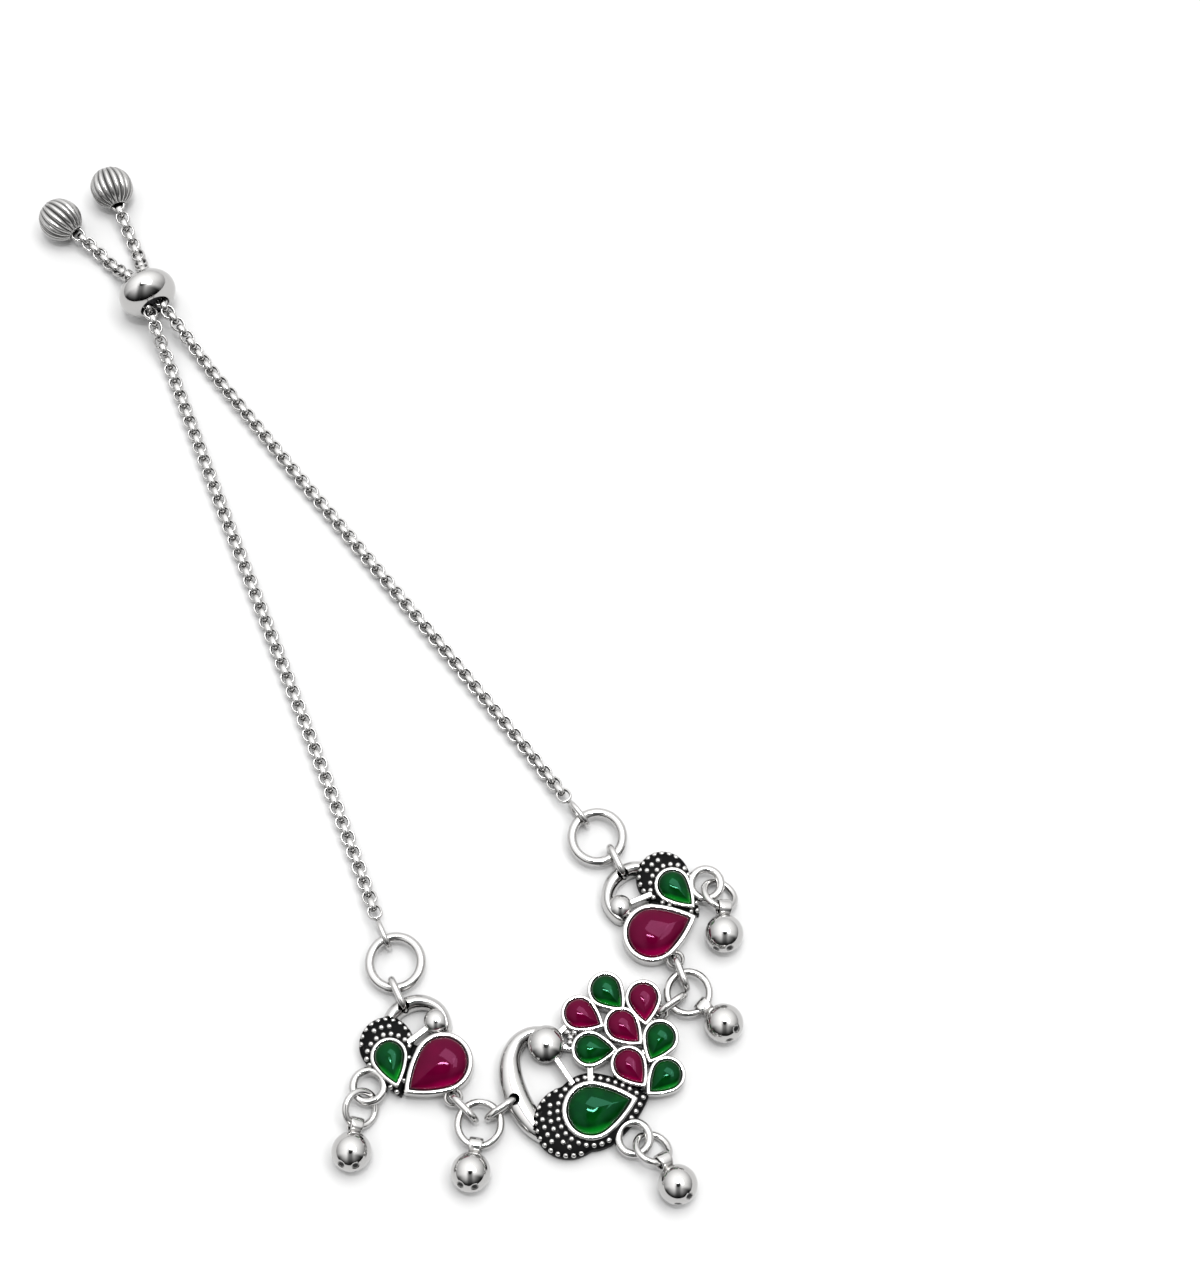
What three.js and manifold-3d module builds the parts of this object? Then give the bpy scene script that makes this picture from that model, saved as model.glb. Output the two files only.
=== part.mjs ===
// Payal anklet, laid flat on a table. A peacock charm with a stone body and a tail of eight pear
// stones is in the middle, with a small charm on either side. Rings and upright oval links join the
// charms to two round box chains, which run up to a slider and end in beads. Five ball drops hang
// from rings. Millimetres, +Z up. The origin is on the table, under the peacock's body.

import * as THREE from 'three';
import { mergeVertices } from 'three/addons/utils/BufferGeometryUtils.js';
import Module from 'manifold-3d';

const wasm = await Module();
wasm.setup();

// Clearances and joints
const LINK_GAP = 0.1;
const STONE_GAP = 0.06;
const BORE_GAP = 0.12;
const SOLDER = 0.15;

// Links and rings
const LINK_WIRE = 0.75;
const LINK_LENGTH = 4.1;
const LINK_HEIGHT = 2.9;
const END_LINK_WIRE = 0.6;
const END_LINK_LENGTH = 3.5;
const BIG_RING_OUTER = 6.35;
const BIG_RING_WIRE = 1.0;
const CONNECTOR_OUTER = 5.1;
const CONNECTOR_WIRE = 0.75;
const DROP_RING_OUTER = 4.2;
const DROP_RING_WIRE = 0.72;
const DROP_RING_ROLL = 37;
const LOOP_OUTER = 4.0;
const LOOP_WIRE = 0.85;
const LOOP_TO_DROP_RING = 2.35;

// Ball drops
const BALL_RADIUS = 2.0;
const BAIL_WIDTH = 1.45;
const BAIL_STRAP = 0.28;
const BAIL_BORE = 0.6;

// Stones: radius of the round end, distance from its middle to the tip, height over the rim
const TAIL_STONE_RADIUS = 1.475;
const TAIL_STONE_TIP = 2.4;
const TAIL_STONE_DOME = 0.75;
const BIG_STONE_RADIUS = 2.43;
const BIG_STONE_TIP = 4.15;
const BIG_STONE_DOME = 1.0;
const GREEN_RADIUS = 1.5;
const GREEN_TIP = 2.8;
const GREEN_DOME = 0.75;
const RUBY_RADIUS = 2.53;
const RUBY_TIP = 4.25;
const RUBY_DOME = 1.0;
const PEAR_BULGE = 12;

// Settings and cast bodies
const RIM_HEIGHT = 2.5;
const RIM = 0.4;
const BIG_RIM = 0.55;
const CUP_FLOOR = 0.5;
const GROUND_HEIGHT = 1.9;
const GROUND_MARGIN = 0.9;
const EDGE_ROUND = 0.6;
const DOT_RADIUS = 0.24;
const DOT_HEIGHT = 0.22;
const DOT_PITCH = 0.88;
const DOT_INSET = 0.42;
const DOT_CLEAR = 0.15;
const EYE_RADIUS = 0.6;
const EYE_WALL = 0.4;
const LUG_THICKNESS = 0.8;
const BAR_WIDTH = 0.65;
const BAR_HEIGHT = 1.6;
const WEB_WIDTH = 3.2;
const WEB_DROP = 0.3;

// Peacock charm. The neck's table gives each section's place from the big stone's middle, as
// shares of the neck's spread and rise, and its width as a share of the neck's width.
const BIG_STONE_X = -2.15;
const BIG_STONE_Y = 0.17;
const BIG_STONE_TURN = -15.6;
const BREAST_RADIUS = 3.5;
const BREAST_SHIFT = 2.85;
const NECK_SPREAD = 6.0;
const NECK_RISE = 10.0;
const NECK_WIDTH = 2.65;
const NECK_HEIGHT = 2.25;
const NECK = [
  { across: -0.86, up: 0.03, wide: 0.74 },
  { across: -0.95, up: 0.17, wide: 0.88 },
  { across: -0.98, up: 0.34, wide: 0.98 },
  { across: -0.97, up: 0.51, wide: 1.0 },
  { across: -0.89, up: 0.72, wide: 0.93 },
  { across: -0.73, up: 0.89, wide: 0.77 },
  { across: -0.5, up: 0.985, wide: 0.63 },
  { across: -0.28, up: 0.995, wide: 0.56 },
  { across: -0.1, up: 0.96, wide: 0.48 },
  { across: 0.05, up: 0.9, wide: 0.36 },
];
const NECK_EYE = 0.31;
const HEAD = { across: -0.107, up: 0.812 };
const HEAD_RADIUS = 1.85;
const HEAD_HEIGHT = 3.1;

// Tail stones: the middle of each round end, in setting widths from the foot of the fan, the way
// the tip points, and the colour. The side lug is soldered between the two marked settings.
const TAIL = [
  { across: 0.41, up: 3.07, tip: -78, colour: 'green' },
  { across: 1.2, up: 2.35, tip: -115, colour: 'ruby', lug: true },
  { across: -0.54, up: 2.87, tip: -58.5, colour: 'ruby' },
  { across: 0.31, up: 2.01, tip: -74.5, colour: 'ruby' },
  { across: 1.06, up: 1.18, tip: -145, colour: 'green', lug: true },
  { across: -0.78, up: 1.885, tip: -32, colour: 'green' },
  { across: -0.065, up: 1.0, tip: -84, colour: 'ruby' },
  { across: 0.7, up: 0.225, tip: -166, colour: 'green' },
];
const TAIL_JOINTS = [[0, 3], [2, 5], [1, 4], [4, 6], [4, 7], [3, 6]];
const PEACOCK_LUG_SET = 0.95;

// Small charms, with sizes and places from the ruby's middle
const GREEN_HEADING = 143.5;
const GREEN_TURN = -103;
const RUBY_TURN = -171;
const STONE_SPACING = 0.55;
const CROWN = 1.4;
const LUG_HEADING = -102.5;
const LUG_SET = 0.48;
const HOOK_SPREAD = 2.4;
const HOOK_RISE = 7.2;
const HOOK_WIDTH = 1.6;
const HOOK = [
  { across: -1.35, up: 0.87, wide: 0.85 },
  { across: -0.8, up: 0.98, wide: 0.97 },
  { across: -0.25, up: 1.0, wide: 1.0 },
  { across: 0.27, up: 0.96, wide: 0.97 },
  { across: 0.68, up: 0.86, wide: 0.88 },
  { across: 0.95, up: 0.72, wide: 0.76 },
  { across: 1.01, up: 0.58, wide: 0.64 },
  { across: 0.92, up: 0.45, wide: 0.56 },
  { across: 0.76, up: 0.36, wide: 0.5 },
];
const HOOK_EYE = 0.24;
const SMALL_HEAD = { across: 0.58, up: 0.572 };
const SMALL_HEAD_RADIUS = 1.2;
const SMALL_HEAD_HEIGHT = 2.7;

// How each side lies: headings of its links, rings and drops in degrees, all seen as on the left,
// what its links and its drop ring hang back from taut, and which way its drop ring rolls
const LEFT = {
  name: 'left', flip: 1, centreLink: 184, centreSlack: 0.3, charmLink: 105, charmSlack: 0.75,
  neckLink: 86, bigRing: 62, endLink: 84, connectorBall: -129,
  dropRing: -138, dropSlack: 0, roll: -DROP_RING_ROLL, sideBall: -136,
};
const RIGHT = {
  name: 'right', flip: -1, centreLink: 175, centreSlack: 0.85, charmLink: 99.5, charmSlack: 0.85,
  neckLink: 95, bigRing: 80, endLink: 82, connectorBall: -108,
  dropRing: -110, dropSlack: 0.5, roll: DROP_RING_ROLL, sideBall: -74,
};
const CENTRE = { loop: -62, dropRing: -58, dropSlack: 0.2, roll: -DROP_RING_ROLL, ball: -80 };
const SIDE_LOOP_HEADING = 204.5;
const SIDE_LOOP_SINK = 0.35;

// Chains, slider and end beads. Each route runs from its end link to its bead, and x is seen as
// on the left, so that the two chains share one table's form. The settling gives how each chain
// comes down to the table from its end link: the distance from the link and the share of the
// link's height that is left. The climb and descent give how it rises to the slider and comes down
// behind it: the strand's distance from the middle line in strand spacings, the distance from the
// slider's face, and the height as a share of the slider's middle.
const CHAIN = 1.35;
const CHAIN_STEPS = 44;
const CHAIN_LIFT = 0.03;
const SLIDER_Y = 106.2;
const SLIDER_OUTER = 6.7;
const SLIDER_LENGTH = 4.1;
const SLIDER_BORE = 3.7;
const SLIDER_MOUTH = 4.1;
const STOPPER_RECESS = 0.35;
const STRAND_SPACING = 1.7;
const BEAD_RADIUS = 2.47;
const BEAD_BORE_DEPTH = 1.5;
const LEFT_BEAD = { x: -4.5, y: 120.7 };
const RIGHT_BEAD = { x: -2.6, y: 121.6 };
const LEFT_ROUTE = {
  rise: [[-10.2, 37.5], [-8.3, 51], [-6.4, 65], [-4.4, 80], [-2.6, 92.5], [-2.2, 95.3]],
  tail: [[-1.9, 113.2], [-2.65, 115.9]],
};
const RIGHT_ROUTE = {
  rise: [[-10.9, 38], [-9.0, 50.5], [-6.8, 64.5], [-4.3, 80], [-2.4, 92.5], [-2.0, 95.3]],
  tail: [[-1.45, 113], [-1.75, 116]],
};
const SETTLE = [{ along: 1.5, left: 0.62 }, { along: 3.2, left: 0.2 }, { along: 5, left: 0.03 }];
const CLIMB = [
  { apart: 1.0, off: -5.8, up: 0.34 }, { apart: 0.72, off: -2.6, up: 0.8 },
  { apart: 0.5, off: -0.7, up: 0.99 }, { apart: 0.5, off: 0.6, up: 1 },
];
const DESCENT = [
  { apart: 0.5, off: -0.6, up: 1 }, { apart: 0.5, off: 0.7, up: 0.98 },
  { apart: 0.65, off: 2.4, up: 0.57 },
];
const TAIL_RISE = 0.25;

const LINK_MID = LINK_HEIGHT / 2;
const TABLE_CHAIN = CHAIN / 2 + CHAIN_LIFT;

const silver = new THREE.MeshStandardMaterial({ color: 0xd9d8d6, roughness: 0.16, metalness: 1 });
const emerald = new THREE.MeshStandardMaterial({ color: 0x04602a, roughness: 0.08, metalness: 0 });
const magenta = new THREE.MeshStandardMaterial({ color: 0x77063c, roughness: 0.08, metalness: 0 });
const rubber = new THREE.MeshStandardMaterial({ color: 0x0c0c0d, roughness: 0.6, metalness: 0 });

const radians = THREE.MathUtils.degToRad;
const polar = (length, heading) =>
  new THREE.Vector2(length * Math.cos(radians(heading)), length * Math.sin(radians(heading)));
const lift = (point, z) => new THREE.Vector3(point.x, point.y, z);

// Closed surface through rings of equally many points. Open ends are closed by a fan to a middle
// point, which is their average unless peak gives the last one.
function loft(rings, { closed = false, peak = null } = {}) {
  const count = rings[0].length;
  const points = rings.flat();
  const faces = [];
  const spans = closed ? rings.length : rings.length - 1;
  for (let i = 0; i < spans; i++) {
    const next = (i + 1) % rings.length;
    for (let j = 0; j < count; j++) {
      const k = (j + 1) % count;
      faces.push([i * count + j, i * count + k, next * count + k]);
      faces.push([i * count + j, next * count + k, next * count + j]);
    }
  }
  if (!closed) {
    const average = (ring) => ring.reduce((sum, p) => sum.add(p), new THREE.Vector3())
      .divideScalar(count);
    const start = points.push(average(rings[0])) - 1;
    const end = points.push(peak ?? average(rings.at(-1))) - 1;
    const top = (rings.length - 1) * count;
    for (let j = 0; j < count; j++) {
      const k = (j + 1) % count;
      faces.push([start, k, j], [end, top + j, top + k]);
    }
  }
  const corner = (face) => face.map((index) => points[index]);
  const volume = faces.reduce((sum, face) => {
    const [a, b, c] = corner(face);
    return sum + a.dot(b.clone().cross(c));
  }, 0);
  const turned = volume < 0 ? faces.map(([a, b, c]) => [a, c, b]) : faces;
  const geometry = new THREE.BufferGeometry();
  geometry.setFromPoints(points);
  geometry.setIndex(turned.flat());
  geometry.computeVertexNormals();
  return geometry;
}

// A geometry as a solid for joining and cutting, and a solid back as a geometry
function solid(geometry) {
  const plain = new THREE.BufferGeometry();
  plain.setAttribute('position', geometry.getAttribute('position').clone());
  if (geometry.index) plain.setIndex(geometry.index.clone());
  const merged = mergeVertices(plain, 1e-4);
  return new wasm.Manifold(new wasm.Mesh({
    numProp: 3,
    vertProperties: Float32Array.from(merged.getAttribute('position').array),
    triVerts: Uint32Array.from(merged.index.array),
  }));
}

function surface(manifold) {
  const { vertProperties, triVerts } = manifold.simplify(0.004).getMesh();
  const geometry = new THREE.BufferGeometry();
  geometry.setAttribute('position', new THREE.Float32BufferAttribute(vertProperties, 3));
  geometry.setIndex(Array.from(triVerts));
  geometry.computeVertexNormals();
  return geometry;
}

const joined = (solids) => solids.reduce((sum, piece) => sum.add(piece));

// Outline of a pear stone: a round end about the origin and two flatter arcs that meet in a tip
// on +X. grow moves every arc outwards, or inwards where it is negative.
function pear({ radius, tip }, grow = 0) {
  const shoulder = Math.acos(radius / tip) + radians(PEAR_BULGE);
  const [cos, sin] = [Math.cos(shoulder), Math.sin(shoulder)];
  const side = (tip ** 2 + radius ** 2 - 2 * tip * radius * cos) / (2 * (radius - tip * cos));
  const back = new THREE.Vector2(-(side - radius) * cos, -(side - radius) * sin);
  const tipAngle = Math.asin(-back.y / (side + grow));
  const roundSteps = 5;
  const sideSteps = 3;
  const half = [];
  for (let i = 0; i <= roundSteps; i++) {
    const angle = Math.PI + ((shoulder - Math.PI) * i) / roundSteps;
    half.push(new THREE.Vector2(Math.cos(angle), Math.sin(angle)).multiplyScalar(radius + grow));
  }
  for (let i = 1; i <= sideSteps; i++) {
    const angle = shoulder + ((tipAngle - shoulder) * i) / sideSteps;
    const reach = new THREE.Vector2(Math.cos(angle), Math.sin(angle)).multiplyScalar(side + grow);
    half.push(reach.add(back));
  }
  const mirrored = half.slice(1, -1).reverse().map((p) => new THREE.Vector2(p.x, -p.y));
  return [...half, ...mirrored];
}

function circle(radius, count) {
  return Array.from({ length: count }, (_, i) => polar(radius, (360 * i) / count));
}

// An outline turned, moved and stood at a height
function laid(outline, { x, y, turn = 0 }, z) {
  return outline.map((p) => lift(p.clone().rotateAround(new THREE.Vector2(), radians(turn))
    .add(new THREE.Vector2(x, y)), z));
}

function inside(point, outline) {
  let hit = false;
  outline.forEach((a, i) => {
    const b = outline[(i + 1) % outline.length];
    const crosses = a.y > point.y !== b.y > point.y;
    if (crosses && point.x < a.x + ((b.x - a.x) * (point.y - a.y)) / (b.y - a.y)) hit = !hit;
  });
  return hit;
}

// Straight bar between two plan points, standing on the table
function bar(a, b, width = BAR_WIDTH, height = BAR_HEIGHT) {
  const across = new THREE.Vector2(a.y - b.y, b.x - a.x).setLength(width / 2);
  const corners = [
    new THREE.Vector2(a.x, a.y).add(across), new THREE.Vector2(b.x, b.y).add(across),
    new THREE.Vector2(b.x, b.y).sub(across), new THREE.Vector2(a.x, a.y).sub(across),
  ];
  return solid(loft([corners.map((p) => lift(p, 0)), corners.map((p) => lift(p, height))]));
}

// Boss with a domed top
function boss({ x, y }, radius, height, sides) {
  const wall = height - radius * 0.6;
  const rings = [[1, 0], [1, wall], [0.87, wall + radius * 0.32], [0.5, height - radius * 0.07]];
  return solid(loft(rings.map(([share, z]) => laid(circle(radius * share, sides), { x, y }, z)),
    { peak: new THREE.Vector3(x, y, height) }));
}

// Neck or hook: an upright wall with a rounded top along a curve through a table's sections
const ARCH = [[-1, 0], [-1, 0.6], [-0.72, 0.88], [0, 1], [0.72, 0.88], [1, 0.6], [1, 0]];

function neckCurve(table, base, spread, rise, width) {
  return new THREE.CatmullRomCurve3(table.map(({ across, up, wide }) =>
    new THREE.Vector3(base.x + across * spread, base.y + up * rise, wide * width)));
}

function neckPoint(curve, share) {
  const { x, y, z: width } = curve.getPoint(share);
  const along = curve.getTangent(share);
  const out = new THREE.Vector2(-along.y, along.x).normalize();
  return { middle: new THREE.Vector2(x, y), out, width };
}

function neck(curve, height, steps) {
  const rings = Array.from({ length: steps + 1 }, (_, i) => {
    const { middle, out, width } = neckPoint(curve, i / steps);
    return ARCH.map(([side, up]) =>
      lift(middle.clone().addScaledVector(out, (side * width) / 2), up * height));
  });
  return solid(loft(rings));
}

// Rings lie flat and links stand upright, as ovals of round wire about their own middle
function ringShape(outer, wire) {
  return new THREE.TorusGeometry((outer - wire) / 2, wire / 2, 6, 16);
}

function linkShape(length, wire, grow = 0) {
  const sides = grow > 0 ? 8 : 6;
  const end = (LINK_HEIGHT - wire) / 2;
  const half = (length - wire) / 2 - end;
  const rings = [];
  for (const [middle, start] of [[half, -90], [-half, 90]]) {
    for (let i = 0; i <= 6; i++) {
      const out = polar(1, start + 30 * i);
      rings.push(circle(wire / 2 + grow, sides).map((p) => new THREE.Vector3(
        middle + out.x * (end + p.x), p.y, out.y * (end + p.x))));
    }
  }
  return loft(rings, { closed: true });
}

// Distance from a link's middle to the middle of the round wire or pierced wall that it holds
const reach = (length, wire, held) => length / 2 - wire - held / 2 - LINK_GAP;
const CONNECTOR_REACH = reach(LINK_LENGTH, LINK_WIRE, CONNECTOR_WIRE);
const BIG_RING_REACH = reach(LINK_LENGTH, LINK_WIRE, BIG_RING_WIRE);
const END_RING_REACH = reach(END_LINK_LENGTH, END_LINK_WIRE, BIG_RING_WIRE);
const WALL_REACH = reach(LINK_LENGTH, LINK_WIRE, EYE_WALL) - 0.25;

const step = (from, length, heading) => from.clone().add(polar(length, heading));

// What a link needs cut from the wall that it goes through: its own wire with room round it, and
// an upright hole behind the wall
function eyeCut(link, heading, holeMiddle) {
  const room = linkShape(LINK_LENGTH, LINK_WIRE, LINK_GAP)
    .rotateZ(radians(heading)).translate(link.x, link.y, LINK_MID);
  const hole = loft([-1, LINK_HEIGHT + 2].map((z) => laid(circle(EYE_RADIUS, 12), holeMiddle, z)));
  return solid(room).add(solid(hole));
}

// Walls of one link's pierced wall, from the wall's middle: the link's middle and the hole's
function eyeAt(wall, heading) {
  const link = step(wall, WALL_REACH, heading);
  const hole = step(wall, -(EYE_WALL / 2 + EYE_RADIUS), heading);
  return { link, hole, heading, cut: () => eyeCut(link, heading, hole) };
}

// Lug: a pierced tab about its hole, with an arm to what it is soldered to
function lug(hole, root) {
  const low = LINK_MID - LUG_THICKNESS / 2;
  const tab = loft([low, low + LUG_THICKNESS].map((z) =>
    laid(circle(EYE_RADIUS + EYE_WALL, 12), hole, z)));
  const foot = loft([low, low + LUG_THICKNESS].map((z) => {
    const across = new THREE.Vector2(hole.y - root.y, root.x - hole.x).setLength(EYE_RADIUS);
    return [hole.clone().add(across), root.clone().add(across), root.clone().sub(across),
      hole.clone().sub(across)].map((p) => lift(p, z));
  }));
  return solid(tab).add(solid(foot));
}

// Setting: an upright cup round a stone, and the pocket that the stone seats in
function setting(stone) {
  const wall = [0, RIM_HEIGHT].map((z) => laid(pear(stone, stone.rim), stone, z));
  const pocket = [CUP_FLOOR, RIM_HEIGHT + 1].map((z) => laid(pear(stone, STONE_GAP), stone, z));
  return { cup: solid(loft(wall)), pocket: solid(loft(pocket)) };
}

// Stone: an upright wall in its pocket and a dome whose sections shrink towards the round end
const DOME = [[0, 1], [0.45, 0.86], [0.85, 0.5]];

function stoneShape(stone) {
  const foot = CUP_FLOOR + STONE_GAP;
  const girdle = RIM_HEIGHT - 0.2;
  const dome = DOME.map(([up, wide]) => laid(
    pear(stone).map((p) => p.multiplyScalar(wide)), stone, girdle + up * (stone.dome + 0.2)));
  return loft([laid(pear(stone), stone, foot), ...dome],
    { peak: new THREE.Vector3(stone.x, stone.y, RIM_HEIGHT + stone.dome) });
}

// Ground of a cast body: an outline that grows to its full size at the foot and rounds off on top
function ground(outline, place) {
  const levels = [[0, 0], [0, GROUND_HEIGHT - EDGE_ROUND], [-0.15, GROUND_HEIGHT - 0.2],
    [-0.45, GROUND_HEIGHT]];
  return solid(loft(levels.map(([grow, z]) => laid(outline(grow), place, z))));
}

// Granulation: dots in rows round a stone, wherever they land on the ground and on nothing else
function dots(stone, grounds, covers, rows) {
  const found = [];
  for (let row = 0; row < rows; row++) {
    const line = laid(pear(stone, stone.rim + DOT_INSET + row * DOT_PITCH), stone, 0);
    const curve = new THREE.CatmullRomCurve3(line, true, 'centripetal');
    const count = Math.round(curve.getLength() / DOT_PITCH);
    for (let i = 0; i < count; i++) {
      const p = curve.getPointAt((i + (row % 2) / 2) / count);
      if (!grounds.some((outline) => inside(p, outline))) continue;
      if (covers.some((outline) => inside(p, outline))) continue;
      const ring = (radius, z) => laid(circle(radius, 5), p, z);
      const dot = loft([ring(DOT_RADIUS, GROUND_HEIGHT - 0.1), ring(DOT_RADIUS, GROUND_HEIGHT)],
        { peak: lift(p, GROUND_HEIGHT + DOT_HEIGHT) });
      found.push(solid(dot));
    }
  }
  return found;
}

function neckOutline(curve, extra) {
  const shares = Array.from({ length: 13 }, (_, i) => i / 12);
  const edge = (side) => shares.map((share) => {
    const { middle, out, width } = neckPoint(curve, share);
    return middle.clone().addScaledVector(out, side * (width / 2 + extra));
  });
  return [...edge(1), ...edge(-1).reverse()];
}

const anklet = new THREE.Group();

function addPiece(parent, name, geometry, material) {
  const mesh = new THREE.Mesh(geometry, material);
  mesh.name = name;
  parent.add(mesh);
  return mesh;
}

function addRing(parent, name, outer, wire, middle) {
  addPiece(parent, name, ringShape(outer, wire), silver).position.set(middle.x, middle.y, LINK_MID);
}

function addLink(parent, name, length, wire, middle, heading) {
  const link = addPiece(parent, name, linkShape(length, wire), silver);
  link.position.set(middle.x, middle.y, LINK_MID);
  link.rotation.z = radians(heading);
}

// A ring's plane as three directions: along a heading, across it and square to the ring, rolled
// about the heading
function ringPlane(heading, roll) {
  const along = lift(polar(1, heading), 0);
  const flat = lift(polar(1, heading + 90), 0);
  const across = flat.multiplyScalar(Math.cos(radians(roll)));
  across.z = Math.sin(radians(roll));
  return { along, across, square: along.clone().cross(across), heading, roll };
}

// Ball drop: its bail holds a ring's wire where the ring points to a heading, and the ball comes
// down to rest on the table
const BAIL_REACH = BALL_RADIUS + BAIL_BORE + BAIL_STRAP - SOLDER;

function ballShape() {
  const bail = new THREE.Shape().absarc(0, 0, BAIL_BORE + BAIL_STRAP, 0, 2 * Math.PI);
  bail.holes.push(new THREE.Path().absarc(0, 0, BAIL_BORE, 0, 2 * Math.PI, true));
  const options = { depth: BAIL_WIDTH, bevelEnabled: false, curveSegments: 6 };
  const strap = new THREE.ExtrudeGeometry(bail, options).translate(0, 0, -BAIL_WIDTH / 2);
  strap.rotateX(Math.PI / 2);
  const ball = new THREE.SphereGeometry(BALL_RADIUS, 14, 9).translate(BAIL_REACH, 0, 0);
  return surface(solid(strap).add(solid(ball)));
}

function addBall(parent, name, middle, plane, mean, heading) {
  const turn = radians(heading - plane.heading);
  const angle = Math.atan2(Math.sin(turn), Math.cos(turn) * Math.cos(radians(plane.roll)));
  const out = plane.along.clone().multiplyScalar(Math.cos(angle))
    .addScaledVector(plane.across, Math.sin(angle));
  const wire = lift(middle, LINK_MID).addScaledVector(out, mean);
  const drop = (BALL_RADIUS - wire.z) / BAIL_REACH;
  const pitch = Math.atan2(plane.square.z, out.z)
    - Math.acos(drop / Math.hypot(out.z, plane.square.z));
  const along = out.clone().multiplyScalar(Math.cos(pitch))
    .addScaledVector(plane.square, Math.sin(pitch));
  const across = plane.square.clone().cross(out);
  const mesh = addPiece(parent, name, ballShape(), silver);
  mesh.quaternion.setFromRotationMatrix(
    new THREE.Matrix4().makeBasis(along, across, along.clone().cross(across)));
  mesh.position.copy(wire);
}

function addDropRing(parent, name, loop, { dropRing: heading, dropSlack, roll }) {
  const middle = step(loop, LOOP_TO_DROP_RING - dropSlack, heading);
  const plane = ringPlane(heading, roll);
  const ring = addPiece(parent, name, ringShape(DROP_RING_OUTER, DROP_RING_WIRE), silver);
  ring.quaternion.setFromRotationMatrix(
    new THREE.Matrix4().makeBasis(plane.along, plane.across, plane.square));
  ring.position.copy(lift(middle, LINK_MID));
  return { middle, plane };
}

const meanRadius = (outer, wire) => (outer - wire) / 2;

function loopAt(middle) {
  return solid(ringShape(LOOP_OUTER, LOOP_WIRE).translate(middle.x, middle.y, LINK_MID));
}

// Peacock charm
const bigStone = {
  radius: BIG_STONE_RADIUS, tip: BIG_STONE_TIP, dome: BIG_STONE_DOME, rim: BIG_RIM,
  x: BIG_STONE_X, y: BIG_STONE_Y, turn: BIG_STONE_TURN,
};
const bigMiddle = new THREE.Vector2(bigStone.x, bigStone.y);
const bodyOutline = (grow) => pear(bigStone, BIG_RIM + GROUND_MARGIN + grow);
const bodyTip = Math.max(...bodyOutline(0).map((p) => p.x));
const tailFoot = step(bigMiddle, bodyTip, BIG_STONE_TURN);
const tailPitch = 2 * (TAIL_STONE_RADIUS + RIM) - 0.02;
const tailStones = TAIL.map(({ across, up, tip, colour, lug }) => ({
  radius: TAIL_STONE_RADIUS, tip: TAIL_STONE_TIP, dome: TAIL_STONE_DOME, rim: RIM, turn: tip,
  x: tailFoot.x + across * tailPitch, y: tailFoot.y + up * tailPitch, colour, lug,
}));
const neckLine = neckCurve(NECK, bigMiddle, NECK_SPREAD, NECK_RISE, NECK_WIDTH);
const head = new THREE.Vector2(
  bigMiddle.x + HEAD.across * NECK_SPREAD, bigMiddle.y + HEAD.up * NECK_RISE);
const neckSide = neckPoint(neckLine, NECK_EYE);
const leftWall = neckSide.middle.clone()
  .addScaledVector(neckSide.out, neckSide.width / 2 - EYE_WALL / 2);
const leftEye = eyeAt(leftWall, LEFT.centreLink);
const between = (a, b, share = 0.5) => new THREE.Vector2(a.x, a.y)
  .lerp(new THREE.Vector2(b.x, b.y), share);
const lugRoot = between(...tailStones.filter(({ lug }) => lug));
const rightHeading = 180 - RIGHT.centreLink;
const rightHole = step(lugRoot, PEACOCK_LUG_SET, rightHeading);
const rightWall = step(rightHole, EYE_RADIUS + EYE_WALL / 2, rightHeading);
const rightEye = eyeAt(rightWall, rightHeading);
const centreLoop = step(bigMiddle,
  BIG_STONE_RADIUS + BIG_RIM + GROUND_MARGIN + LOOP_OUTER / 2 - LOOP_WIRE, CENTRE.loop);

function peacockCharm() {
  const settings = [bigStone, ...tailStones].map(setting);
  const breast = step(bigMiddle, -BREAST_SHIFT, 0);
  const breastOutline = (grow) => circle(BREAST_RADIUS + grow, 20);
  const grounds = [laid(bodyOutline(-DOT_INSET), bigStone, 0),
    laid(breastOutline(-DOT_INSET), breast, 0)];
  const covers = [
    laid(pear(bigStone, BIG_RIM), bigStone, 0), neckOutline(neckLine, 0.1),
    laid(circle(LOOP_OUTER / 2, 12), centreLoop, 0),
    ...tailStones.map((stone) => laid(pear(stone, RIM + DOT_CLEAR), stone, 0)),
  ];
  const bars = TAIL_JOINTS.map(([a, b]) => bar(tailStones[a], tailStones[b]));
  const body = joined([
    ground(bodyOutline, bigStone), ground(breastOutline, breast),
    neck(neckLine, NECK_HEIGHT, 16), boss(head, HEAD_RADIUS, HEAD_HEIGHT, 16),
    bar(head, between(head, bigMiddle, 0.6)), bar(head, tailStones[2]), bar(head, tailStones[5]),
    bar(tailStones[5], between(tailStones[5], bigMiddle, 0.6)), ...bars,
    ...settings.map(({ cup }) => cup), lug(rightHole, lugRoot), loopAt(centreLoop),
    ...dots(bigStone, grounds, covers, 4),
  ]);
  const cuts = [...settings.map(({ pocket }) => pocket), leftEye.cut(), rightEye.cut()];
  return surface(body.subtract(joined(cuts)));
}

addPiece(anklet, 'charm_centre', peacockCharm(), silver);
addPiece(anklet, 'big_stone', stoneShape(bigStone), emerald);
tailStones.forEach((stone, index) => {
  const colour = stone.colour === 'green' ? emerald : magenta;
  addPiece(anklet, `tail_stone_${index + 1}`, stoneShape(stone), colour);
});
const centreDrop = addDropRing(anklet, 'centre_drop_ring', centreLoop, CENTRE);
addBall(anklet, 'centre_ball', centreDrop.middle, centreDrop.plane,
  meanRadius(DROP_RING_OUTER, DROP_RING_WIRE), CENTRE.ball);

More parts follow.
